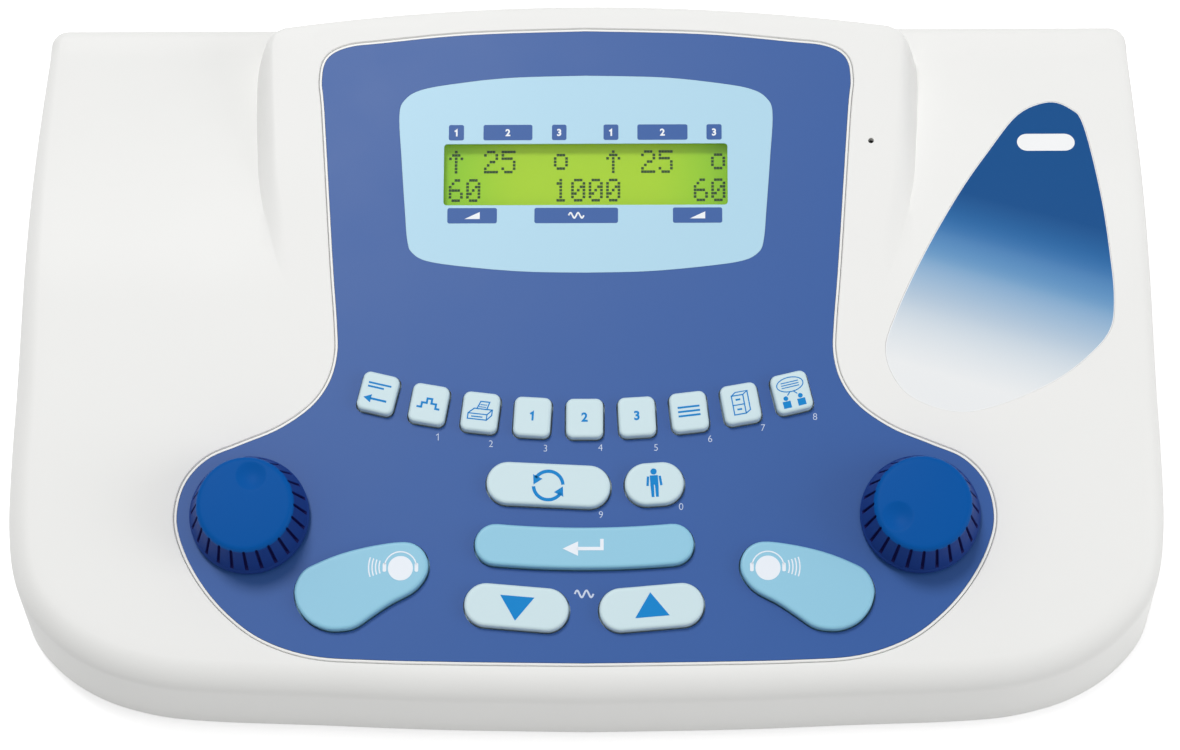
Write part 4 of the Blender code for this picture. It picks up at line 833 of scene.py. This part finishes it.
def inkMesh(shapes):
    low, high = ink["low"], ink["high"]
    meshes = []
    for kind, *lines in shapes:
        lines = [[p * ink["scale"] for p in line] for line in lines]
        if kind == "area":
            line = lines[0]
            turn = sum(a.x * b.y - a.y * b.x for a, b in zip(line, line[1:] + line[:1]))
            meshes.append(slab(line if turn > 0 else list(reversed(line)), low, high))
        else:
            outer, inner = lines
            size = len(outer)
            points = [(p.x, p.y, z) for z in (low, high) for line in (outer, inner) for p in line]
            faces = []
            for i in range(size):
                j = (i + 1) % size
                faces.append((i, size + i, size + j, j))
                faces.append((2 * size + i, 2 * size + j, 3 * size + j, 3 * size + i))
                faces.append((i, j, 2 * size + j, 2 * size + i))
                faces.append((size + i, 3 * size + i, 3 * size + j, size + j))
            meshes.append(meshFrom("band", points, faces))
    return joined(meshes)


# Plain numerals from the program's own font, centred, as a thin raised print
def textMesh(words, size, weight):
    curve = bpy.data.curves.new("numerals", "FONT")
    curve.body = words
    curve.size = size
    curve.offset = weight
    curve.align_x = "CENTER"
    curve.align_y = "CENTER"
    curve.resolution_u = 4
    thick = ink["high"] - ink["low"]
    curve.extrude = thick / 2
    helper = bpy.data.objects.new("numerals", curve)
    bpy.context.scene.collection.objects.link(helper)
    bpy.context.view_layer.update()
    graph = bpy.context.evaluated_depsgraph_get()
    mesh = bpy.data.meshes.new_from_object(helper.evaluated_get(graph))
    bpy.data.objects.remove(helper)
    bpy.data.curves.remove(curve)
    tidy = bmesh.new()
    tidy.from_mesh(mesh)
    bmesh.ops.remove_doubles(tidy, verts=tidy.verts, dist=1e-7)
    bmesh.ops.recalc_face_normals(tidy, faces=tidy.faces)
    tidy.to_mesh(mesh)
    tidy.free()
    mesh.transform(Matrix.Translation((0, 0, ink["low"] + thick / 2)))
    mesh.materials.clear()
    return mesh


# Numerals by name; the one is drawn with its flag
def numeralMesh(digit, size, weight):
    if digit != "1":
        return textMesh(digit, size, weight)
    tall = 700 * size
    line = [(-0.24 * tall, 0.24 * tall), (0.05 * tall, 0.46 * tall), (0.05 * tall, -0.50 * tall)]
    return inkMesh(stroke(line, 0.13 * tall + 2000 * weight))


def arrowHead(tip, heading, length, width):
    direction = Vector((math.cos(heading), math.sin(heading)))
    side = Vector((-direction.y, direction.x))
    tip = Vector(tip)
    return area([tip, tip - direction * length + side * width / 2, tip - direction * length - side * width / 2])


def clearSign():
    return (stroke([(-2.2, -2.5), (3.5, -2.5)], 0.72) + arrowHead((-4.4, -2.5), math.pi, 2.6, 2.9)
            + stroke([(-3.9, 2.9), (3.9, 2.9)], 0.62) + stroke([(-3.9, 1.6), (1.6, 1.6)], 0.62))


def stepSign():
    return stroke([(-3.9, -1.5), (-2.3, -1.5), (-2.3, 0.1), (-0.7, 0.1), (-0.7, 1.7), (0.9, 1.7), (0.9, 0.1),
                   (2.5, 0.1), (2.5, -1.5), (3.9, -1.5)], 0.68)


def printSign():
    return (stroke([(-4.0, -2.8), (2.4, -2.8), (4.0, -1.0), (4.0, 0.9), (-2.1, 0.9), (-4.0, -0.9)], 0.40, True)
            + stroke([(-4.0, -0.9), (2.4, -0.9), (4.0, 0.9)], 0.36) + stroke([(2.4, -0.9), (2.4, -2.8)], 0.36)
            + stroke([(-1.2, 0.9), (-0.2, 3.5), (2.8, 3.5), (2.1, 0.9)], 0.40)
            + stroke([(-0.2, 2.4), (2.0, 2.4)], 0.30) + stroke([(-0.6, 1.6), (1.8, 1.6)], 0.30)
            + stroke([(-2.8, -1.9), (1.0, -1.9)], 0.40))


def menuSign():
    return [s for k in (-1, 0, 1) for s in stroke([(-3.7, 1.5 * k), (3.7, 1.5 * k)], 0.66)]


def storeSign():
    return (stroke([(-2.7, -3.8), (1.2, -3.8), (1.2, 2.8), (-2.7, 2.8)], 0.40, True)
            + stroke([(-2.7, 2.8), (-1.2, 3.9), (2.8, 3.9), (1.2, 2.8)], 0.36)
            + stroke([(2.8, 3.9), (2.8, -2.8), (1.2, -3.8)], 0.40) + stroke([(-2.7, -0.5), (1.2, -0.5)], 0.38)
            + stroke([(-1.5, 1.3), (0.1, 1.3)], 0.6) + stroke([(-1.5, -2.1), (0.1, -2.1)], 0.6))


def talkSign():
    bubble = [(4.5 * math.cos(a), 2.6 + 2.5 * math.sin(a)) for a in [k * math.tau / 32 for k in range(32)]]
    shapes = stroke(bubble, 0.34, True)
    shapes += [s for k in (-1, 0, 1) for s in stroke([(-3.0, 2.6 + k * 0.85), (3.0, 2.6 + k * 0.85)], 0.32)]
    for side in (-1, 1):
        shapes += disc((side * 2.5, -1.9), 0.80, 20)
        shapes += area([(side * 2.5 - 1.35, -5.3), (side * 2.5 + 1.35, -5.3), (side * 2.5 + 1.35, -2.9),
                        (side * 2.5 - 1.35, -2.9)])
        shapes += stroke([(side * 0.6, 0.1), (side * 1.7, -1.0)], 0.32)
    return shapes


def cycleSign():
    shapes = arcInk((0, -0.5), 4.9, 1.15, 6, 150) + arcInk((0, -0.5), 4.9, 1.15, 186, 330)
    for angle in (156, 336):
        a = math.radians(angle)
        tip = (4.9 * math.cos(a + 0.4), 4.9 * math.sin(a + 0.4) - 0.5)
        shapes += arrowHead(tip, a + quarter, 3.1, 3.5)
    return shapes


def personSign():
    shapes = disc((0, 3.95), 1.05)
    shapes += area([(-1.35, 2.65), (1.35, 2.65), (1.35, -0.6), (-1.35, -0.6)])
    for side in (-1, 1):
        shapes += stroke([(side * 1.95, 2.35), (side * 2.3, -0.9)], 0.80)
        shapes += area([(side * 0.14, -0.62), (side * 1.35, -0.62), (side * 1.2, -4.8), (side * 0.26, -4.8)])
    return shapes


def enterSign():
    return stroke([(-2.2, -0.4), (5.9, -0.4), (5.9, 2.9)], 1.15) + arrowHead((-7.1, -0.4), math.pi, 5.1, 4.9)


def triangleSign(up):
    way = 1 if up else -1
    return area([(-5.7, -3.5 * way), (5.7, -3.5 * way), (0, 4.8 * way)])


# A plain disc between two ear cups under a band, with sound arcs on the outer side
def listenSign(side):
    shapes = disc((0, 0), 4.15, 40) + arcInk((0, 0.3), 5.3, 0.42, 10, 170, 24)
    for cup in (-1, 1):
        shapes += [("area", [Vector(p) for p in roundBox(1.2, 3.0, 0.5, 4, (cup * 5.3, 0.3))])]
    for k in range(4):
        start, end = (-19, 19) if side > 0 else (161, 199)
        shapes += arcInk((side * 0.4, 0.4), 6.7 + k * 1.15, 0.42, start, end, 10)
    return shapes


signs = {
    "key_clear": clearSign(), "key_step": stepSign(), "key_print": printSign(), "key_menu": menuSign(),
    "key_store": storeSign(), "key_talk": talkSign(), "key_cycle": cycleSign(), "key_person": personSign(),
    "key_enter": enterSign(), "key_down": triangleSign(False), "key_up": triangleSign(True),
}
keySigns = {"digitSize": 0.0043, "digitWeight": 0.00014, "listenPlace": (0.0608, -0.1386)}


def addSign(name, mesh, finish, shift=(0, 0)):
    lift = Matrix.Translation((*shift, keyShape["rise"]))
    addPiece("sign_" + name, moved(mesh, keyPlace(name) @ lift), finish, name)


for name, shapes in signs.items():
    addSign(name, inkMesh(shapes), "signWhite" if name == "key_enter" else "signBlue")
for digit, name in enumerate(("key_soft_1", "key_soft_2", "key_soft_3"), 1):
    addSign(name, numeralMesh(str(digit), keySigns["digitSize"], keySigns["digitWeight"]), "signBlue")
for side, name in ((-1, "key_present_left"), (1, "key_present_right")):
    across, up = keySigns["listenPlace"]
    addSign(name, inkMesh(listenSign(side)), "signWhite", (side * (across - presentStem.x), up - presentStem.y))
print("signs made")


# print on the film: small numerals beside the keys, and label boxes round the display
filmNumerals = {"size": 0.0034, "weight": -0.00004, "wavePlace": (0.0, -0.1467), "places": {
    "1": (-0.0492, -0.0928), "2": (-0.0314, -0.0953), "3": (-0.0131, -0.0969), "4": (0.0053, -0.0967),
    "5": (0.0239, -0.0967), "6": (0.0420, -0.0937), "7": (0.0597, -0.0899), "8": (0.0772, -0.0861),
    "9": (0.0055, -0.1198), "0": (0.0322, -0.1171)}}
numeralMeshes = []
for digit, (u, s) in filmNumerals["places"].items():
    mesh = numeralMesh(digit, filmNumerals["size"], filmNumerals["weight"])
    numeralMeshes.append(moved(mesh, Matrix.Translation((u, s, 0))))
waveMesh = inkMesh(stroke(waveLine(6.2, 1.15), 0.62))
numeralMeshes.append(moved(waveMesh, Matrix.Translation((*filmNumerals["wavePlace"], 0))))
addPiece("filmPrint", moved(joined(numeralMeshes), panelPlace), "printSilver", "case")

labelBoxes = {
    "upper": {"s": (12.6, 18.2), "spans": ((-47.0, -41.8), (-35.1, -18.3), (-11.6, -6.6), (6.1, 11.2),
                                           (17.7, 34.9), (41.4, 46.6))},
    "lower": {"s": (-17.4, -11.9), "spans": ((-47.1, -30.2), (-17.4, 11.1), (29.8, 46.6))},
    "corner": 0.7, "digitSize": 0.0034, "digitWeight": 0.00012, "digitDrop": 0.0002,
}


def boxRow(row):
    low, high = row["s"]
    shapes = []
    for left, right in row["spans"]:
        centre = ((left + right) / 2, (low + high) / 2)
        shapes.append(("area", roundBox(right - left, high - low, labelBoxes["corner"], 5, centre)))
    return shapes


boxInk = inkMesh(boxRow(labelBoxes["upper"]) + boxRow(labelBoxes["lower"]))
addPiece("labelBoxes", moved(boxInk, panelPlace), "printBlue", "case")


# Numerals in the upper boxes; a rising wedge, a wave and a wedge in the lower ones
def boxSigns():
    meshes = []

    def addAt(mesh, left, right, row, drop):
        centre = ((left + right) / 2000, sum(row["s"]) / 2000 - drop, 0)
        meshes.append(moved(mesh, Matrix.Translation(centre)))

    values = labelBoxes
    for index, (left, right) in enumerate(values["upper"]["spans"]):
        mesh = numeralMesh(str(index % 3 + 1), values["digitSize"], values["digitWeight"])
        addAt(mesh, left, right, values["upper"], values["digitDrop"])
    for index, (left, right) in enumerate(values["lower"]["spans"]):
        wedge = area([(-2.6, -1.2), (2.6, -1.2), (2.6, 1.3)])
        shapes = stroke(waveLine(5.2, 0.95), 0.55) if index == 1 else wedge
        addAt(inkMesh(shapes), left, right, values["lower"], 0)
    return joined(meshes)


raised = Matrix.Translation((0, 0, ink["high"]))
addPiece("boxSigns", moved(boxSigns(), panelPlace @ raised), "printWhite", "case")
print("print made")


# display: glass block and a dot matrix made with geometry nodes
display = {
    "glassTop": -0.0044, "glassLow": -0.0080, "glassWidth": 0.1124, "glassHeight": 0.0314,
    "charPitch": 0.0060, "rowPitch": 0.0103, "dotPitchU": 0.00098, "dotPitchS": 0.00122,
    "glassCorner": 0.0006, "glassEdge": 0.0002, "dotSize": 0.00092, "dotHeight": 0.00012,
    "shiftU": 0.0004, "shiftS": 0.0011, "upper": "w 25  o  w 25  o", "lower": "60    1000    60",
}
glyphs = {
    "0": (14, 17, 19, 21, 25, 17, 14), "1": (4, 12, 4, 4, 4, 4, 14), "2": (14, 17, 1, 6, 8, 16, 31),
    "5": (31, 16, 30, 1, 1, 17, 14), "6": (6, 8, 16, 30, 17, 17, 14),
    "w": (4, 14, 21, 4, 4, 4, 4), "o": (0, 14, 17, 17, 17, 14, 0),
}


def dotPoints():
    points = []
    for row, line in enumerate((display["upper"], display["lower"])):
        for column, sign in enumerate(line):
            for down, bits in enumerate(glyphs.get(sign, ())):
                for across in range(5):
                    if bits >> (4 - across) & 1:
                        u = (column - 7.5) * display["charPitch"] + (across - 2) * display["dotPitchU"]
                        s = (0.5 - row) * display["rowPitch"] + (3 - down) * display["dotPitchS"]
                        points.append((u + display["shiftU"], s + display["shiftS"], display["glassTop"]))
    return points


def socketId(tree, name):
    return next(item.identifier for item in tree.interface.items_tree
                if item.item_type == "SOCKET" and item.in_out == "INPUT" and item.name == name)


def newTree(name, inputs):
    tree = bpy.data.node_groups.new(name, "GeometryNodeTree")
    tree.interface.new_socket("Geometry", in_out="INPUT", socket_type="NodeSocketGeometry")
    tree.interface.new_socket("Geometry", in_out="OUTPUT", socket_type="NodeSocketGeometry")
    for title, kind, value in inputs:
        item = tree.interface.new_socket(title, in_out="INPUT", socket_type=kind)
        if value is not None:
            item.default_value = value
    return tree


# Ends a tree: real geometry, welded where asked, with its finish
def endTree(tree, start, instances, weld=None):
    shape = addNode(tree, "GeometryNodeRealizeInstances", {"Geometry": instances}).outputs["Geometry"]
    if weld:
        welded = addNode(tree, "GeometryNodeMergeByDistance", {"Geometry": shape, "Distance": weld})
        shape = welded.outputs["Geometry"]
    paint = addNode(tree, "GeometryNodeSetMaterial", {"Geometry": shape, "Material": start["Finish"]})
    addNode(tree, "NodeGroupOutput", {"Geometry": paint.outputs["Geometry"]})


# Evaluates the tree on a mesh and returns the result as a plain mesh
def runTree(tree, mesh, settings):
    helper = bpy.data.objects.new("treeHelper", mesh)
    bpy.context.scene.collection.objects.link(helper)
    modifier = helper.modifiers.new("made", "NODES")
    modifier.node_group = tree
    for title, value in settings.items():
        modifier[socketId(tree, title)] = value
    graph = bpy.context.evaluated_depsgraph_get()
    result = bpy.data.meshes.new_from_object(helper.evaluated_get(graph))
    bpy.data.objects.remove(helper)
    return result


def dotTree():
    tree = newTree("lcdDots", (("Dot Size", "NodeSocketFloat", 0.0009),
                               ("Dot Height", "NodeSocketFloat", 0.0001),
                               ("Finish", "NodeSocketMaterial", None)))
    start = tree.nodes.new("NodeGroupInput").outputs
    size = addNode(tree, "ShaderNodeCombineXYZ",
                   {"X": start["Dot Size"], "Y": start["Dot Size"], "Z": start["Dot Height"]})
    cube = addNode(tree, "GeometryNodeMeshCube", {"Size": size.outputs["Vector"]})
    spread = addNode(tree, "GeometryNodeInstanceOnPoints",
                     {"Points": start["Geometry"], "Instance": cube.outputs["Mesh"]})
    endTree(tree, start, spread.outputs["Instances"])
    return tree


glassOutline = roundBox(display["glassWidth"], display["glassHeight"], display["glassCorner"], 3)
glassBlock = softSlab(glassOutline, display["glassLow"], display["glassTop"], display["glassEdge"], 2)
addPiece("lcdGlass", moved(glassBlock, panelPlace), "lcdGreen", "case", ["lcd_glass"])
dotMesh = runTree(dotTree(), meshFrom("dotPlaces", dotPoints(), []),
                  {"Dot Size": display["dotSize"], "Dot Height": display["dotHeight"],
                   "Finish": materials["lcdDot"]})
addPiece("lcdDots", moved(dotMesh, panelPlace), "lcdDot", "case")
print("display made")


# knobs: one of 24 equal sectors is modelled, and a node tree turns it round the axis
knobShape = {
    "lift": 0.0010, "grooves": 24, "grooveDepth": 0.0010, "grooveCore": 0.9, "grooveHalf": 1.9,
    "sectorDegrees": (0.0, 0.5, 0.9, 1.3, 1.7, 2.1, 2.8, 4.0, 5.6, 7.5),
    "rim": ((0.0196, 0.0000), (0.0199, 0.0001), (0.0200, 0.0004), (0.0200, 0.0018), (0.0199, 0.0022),
            (0.0196, 0.0024)),
    "boss": 0.0024, "grooveStart": 0.0008, "grooveEnd": 0.0012, "weld": 1e-6,
    "capMargin": 0.0003, "wellMargin": 0.001, "grooveMargin": 0.3,
    "shoulder": (0.0163, 0.0149), "shoulderRound": (0.0020, 0.0019), "domeRise": 0.0005, "middle": 0.0005,
    "roundSteps": 6, "domeSteps": 26,
    "skirtSteps": 28, "grooveLow": 0.0032, "grooveHigh": 0.0146, "well": 0.0085, "wellDepth": 0.0035,
    "dishDistance": 0.0096, "dishRadius": 0.0052, "dishDepth": 0.0012, "dishCurve": 1.3,
    "dishAngle": {"left": math.radians(78), "right": math.radians(209)},
}


# one sector: the underside well, then the rim, the skirt and the top
def knobSector():
    values = knobShape
    well = values["well"]
    under = ((values["boss"], values["wellDepth"]), (well, values["wellDepth"]), (well, 0.0))
    (r0, z0), (r1, z1) = values["rim"][-1], values["shoulder"]
    count = values["skirtSteps"]
    skirt = [(r0 + (r1 - r0) * k / count, z0 + (z1 - z0) * k / count) for k in range(1, count)]
    roundIn, roundUp = values["shoulderRound"]
    turns = [quarter * k / values["roundSteps"] for k in range(values["roundSteps"] + 1)]
    top = [(r1 - roundIn * (1 - math.cos(a)), z1 + roundUp * math.sin(a)) for a in turns]
    capRadius, capHeight = top[-1]
    for k in range(1, values["domeSteps"] + 1):
        radius = capRadius + (values["middle"] - capRadius) * k / values["domeSteps"]
        top.append((radius, capHeight + values["domeRise"] * (1 - (radius / capRadius) ** 2)))
    profile = list(under) + list(values["rim"]) + skirt + top
    half = list(values["sectorDegrees"])
    degrees = [-d for d in reversed(half[1:])] + half
    points, faces = [], []
    size = len(degrees)
    for radius, z in profile:
        inGroove = (eased((z - values["grooveLow"]) / values["grooveStart"])
                    * (1 - eased((z - values["grooveHigh"]) / values["grooveEnd"])))
        for degree in degrees:
            slope = values["grooveHalf"] - values["grooveCore"]
            bite = 1 - eased((abs(degree) - values["grooveCore"]) / slope)
            r = radius - values["grooveDepth"] * bite * inGroove
            angle = math.radians(degree)
            points.append((r * math.cos(angle), r * math.sin(angle), z))
    for level in range(len(profile) - 1):
        for k in range(size - 1):
            low, high = level * size + k, (level + 1) * size + k
            faces.append((low, low + 1, high + 1, high))
    return meshFrom("knobSector", points, faces)


# Repeats the sector round the Z axis and welds the copies into one skin
def turnTree():
    tree = newTree("roundPattern", (("Count", "NodeSocketInt", 24), ("Weld", "NodeSocketFloat", 1e-6),
                                    ("Finish", "NodeSocketMaterial", None)))
    start = tree.nodes.new("NodeGroupInput").outputs
    line = addNode(tree, "GeometryNodeMeshLine", {"Offset": (0, 0, 0), "Count": start["Count"]})
    index = addNode(tree, "GeometryNodeInputIndex", {})
    share = addNode(tree, "ShaderNodeMath", {0: index.outputs["Index"], 1: start["Count"]}, operation="DIVIDE")
    turn = addNode(tree, "ShaderNodeMath", {0: share.outputs[0], 1: math.tau}, operation="MULTIPLY")
    spin = addNode(tree, "ShaderNodeCombineXYZ", {"Z": turn.outputs[0]})
    rotation = addNode(tree, "FunctionNodeEulerToRotation", {"Euler": spin.outputs["Vector"]})
    spread = addNode(tree, "GeometryNodeInstanceOnPoints",
                     {"Points": line.outputs["Mesh"], "Instance": start["Geometry"],
                      "Rotation": rotation.outputs["Rotation"]})
    endTree(tree, start, spread.outputs["Instances"], start["Weld"])
    return tree


roundPattern = turnTree()


# Which finish a face of the knob takes: 0 cap, 1 skirt in painted shade, 2 groove in deeper painted shade
def knobZone(centre):
    values = knobShape
    onCap = centre.z > values["shoulder"][1] + values["capMargin"]
    if onCap or centre.xy.length < values["well"] + values["wellMargin"]:
        return 0
    sector = 360 / values["grooves"]
    degree = math.degrees(math.atan2(centre.y, centre.x)) % sector
    degree = min(degree, sector - degree)
    inGroove = degree < values["grooveHalf"] - values["grooveMargin"]
    return 2 if inGroove and values["grooveLow"] < centre.z < values["grooveHigh"] else 1


def buildKnob(word):
    values = knobShape
    mesh = runTree(roundPattern, knobSector(), {"Count": values["grooves"], "Weld": values["weld"],
                                                "Finish": materials["knobBlue"]})
    shape = bmesh.new()
    shape.from_mesh(mesh)
    bmesh.ops.holes_fill(shape, edges=[e for e in shape.edges if e.is_boundary])
    bmesh.ops.recalc_face_normals(shape, faces=shape.faces)
    angle = values["dishAngle"][word]
    dish = values["dishDistance"] * Vector((math.cos(angle), math.sin(angle)))
    for face in shape.faces:
        face.material_index = knobZone(face.calc_center_median())
    for vertex in shape.verts:
        if vertex.co.z > values["shoulder"][1]:
            away = min((vertex.co.xy - dish).length / values["dishRadius"], 1)
            vertex.co.z -= values["dishDepth"] * (1 - away ** 2) ** values["dishCurve"]
    mesh.materials.clear()
    # the skirt and groove finishes are painted shade of the one knob blue
    for finish in ("knobBlue", "knobSkirtPaintedShade", "knobGroovePaintedShade"):
        mesh.materials.append(materials[finish])
    shape.to_mesh(mesh)
    shape.free()
    centre = knobPlaces[word]
    return moved(mesh, panelPlace @ Matrix.Translation((centre.x, centre.y, values["lift"])))


for word in ("left", "right"):
    node = "knob_" + word
    addPiece("knobCap_" + word, buildKnob(word), None, node, [node], sharp=50)
print("knobs made")


# side label: printed sheet with a thin white border and a bare pill
labelShape = {"drop": 0.0001, "thick": 0.0004, "border": 0.0003, "pillCentre": (0.1583, 0.0713),
              "pillWidth": 0.0198, "pillHeight": 0.0070}


def buildLabel():
    values = labelShape
    border = grown(labelOutline, -values["border"])
    height = values["pillHeight"]
    badge = roundBox(values["pillWidth"], height, height / 2, 10, values["pillCentre"])
    top = -values["drop"]
    mesh = wingSheet(labelOutline, top - values["thick"], top, (border, badge))
    for finish in ("labelPrint", "labelBorder"):
        mesh.materials.append(materials[finish])
    for face in mesh.polygons:
        middle = Vector(face.center[:2])
        face.material_index = 0 if isInside(middle, border) and not isInside(middle, badge) else 1
    return mesh


addPiece("sideLabel", buildLabel(), None, "case", ["side_label"])
print("label made")


# solids that keep their own shape get their finish
paintedNodes = {
    "baseGrey": ("lower_housing",), "paneClear": ("display_pane",), "bezelBlack": ("lcd_bezel",),
    "boardGreen": ("lcd_board", "keypad_board", "main_board"),
    "ribbonGrey": ("display_ribbon", "keypad_ribbon"),
    "socketBlack": ("microphone", "encoder_body_left", "encoder_body_right", "jack_phones", "jack_bone",
                    "jack_patient", "jack_talk", "power_socket", "power_switch", "power_rocker"),
    "steel": ("encoder_shaft_left", "encoder_shaft_right", "encoder_nut_left", "encoder_nut_right", "data_port",
              "case_screw_front_left", "case_screw_front_right", "case_screw_rear_left",
              "case_screw_rear_right"),
    "plateMetal": ("rear_plate",),
    "rubberDark": ("foot_front_left", "foot_front_right", "foot_rear_left", "foot_rear_right"),
}
for finish, nodeNames in paintedNodes.items():
    for nodeName in nodeNames:
        paintNode(nodeName, finish)
print("solids painted")


# floor, lamps and world
studio = {
    "floorReach": 4, "floorColour": 0.80, "floorGlow": 0.60, "worldLight": 0.46, "aim": (0, 0, 0.03),
    "mainWatts": 66.0, "mainPlace": (-0.75, 0.95, 3.6), "mainSize": 1.0,
    "fillWatts": 7.5, "fillPlace": (1.6, -0.5, 0.8), "fillSize": 1.2,
}


# One where a ray comes from the camera, a mirror-like surface or a clear one
def plainView(tree):
    path = tree.nodes.new("ShaderNodeLightPath").outputs
    total = path["Is Camera Ray"]
    for kind in ("Is Glossy Ray", "Is Transmission Ray"):
        total = addNode(tree, "ShaderNodeMath", {0: total, 1: path[kind]}, operation="MAXIMUM").outputs[0]
    return total


def addFloor(values):
    far = values["floorReach"]
    mesh = meshFrom("floor", [(-far, -far, 0), (far, -far, 0), (far, far, 0), (-far, far, 0)], [(0, 1, 2, 3)])
    material = bpy.data.materials.new("floorWhite")
    material.use_nodes = True
    tree = material.node_tree
    shader = tree.nodes["Principled BSDF"]
    tone = values["floorColour"]
    shader.inputs["Base Color"].default_value = (tone, tone, tone, 1)
    shader.inputs["Roughness"].default_value = 0.9
    shader.inputs["Specular IOR Level"].default_value = 0.1
    level = addNode(tree, "ShaderNodeMath", {0: plainView(tree), 1: values["floorGlow"]}, operation="MULTIPLY")
    glow = addNode(tree, "ShaderNodeEmission", {"Strength": level.outputs[0]})
    both = addNode(tree, "ShaderNodeAddShader", {0: shader.outputs[0], 1: glow.outputs[0]})
    tree.links.new(both.outputs[0], tree.nodes["Material Output"].inputs["Surface"])
    mesh.materials.append(material)
    floor = bpy.data.objects.new("floor", mesh)
    bpy.context.scene.collection.objects.link(floor)


def addLamp(name, values):
    place = values[name + "Place"]
    data = bpy.data.lights.new(name + "Lamp", "AREA")
    data.shape = "DISK"
    data.energy = values[name + "Watts"]
    data.size = values[name + "Size"]
    lamp = bpy.data.objects.new(name + "Lamp", data)
    bpy.context.scene.collection.objects.link(lamp)
    lamp.location = place
    lamp.rotation_euler = (Vector(values["aim"]) - Vector(place)).to_track_quat("-Z", "Y").to_euler()


def addWorld(values):
    world = bpy.data.worlds.new("studioWorld")
    bpy.context.scene.world = world
    world.use_nodes = True
    tree = world.node_tree
    back = tree.nodes["Background"]
    back.inputs["Color"].default_value = (1, 1, 1, 1)
    level = addNode(tree, "ShaderNodeMapRange",
                    {"To Min": values["worldLight"], "To Max": 1.0, "Value": plainView(tree)})
    tree.links.new(level.outputs["Result"], back.inputs["Strength"])


addFloor(studio)
addLamp("main", studio)
addLamp("fill", studio)
addWorld(studio)
bpy.context.scene.view_settings.view_transform = "Standard"
print("studio made")
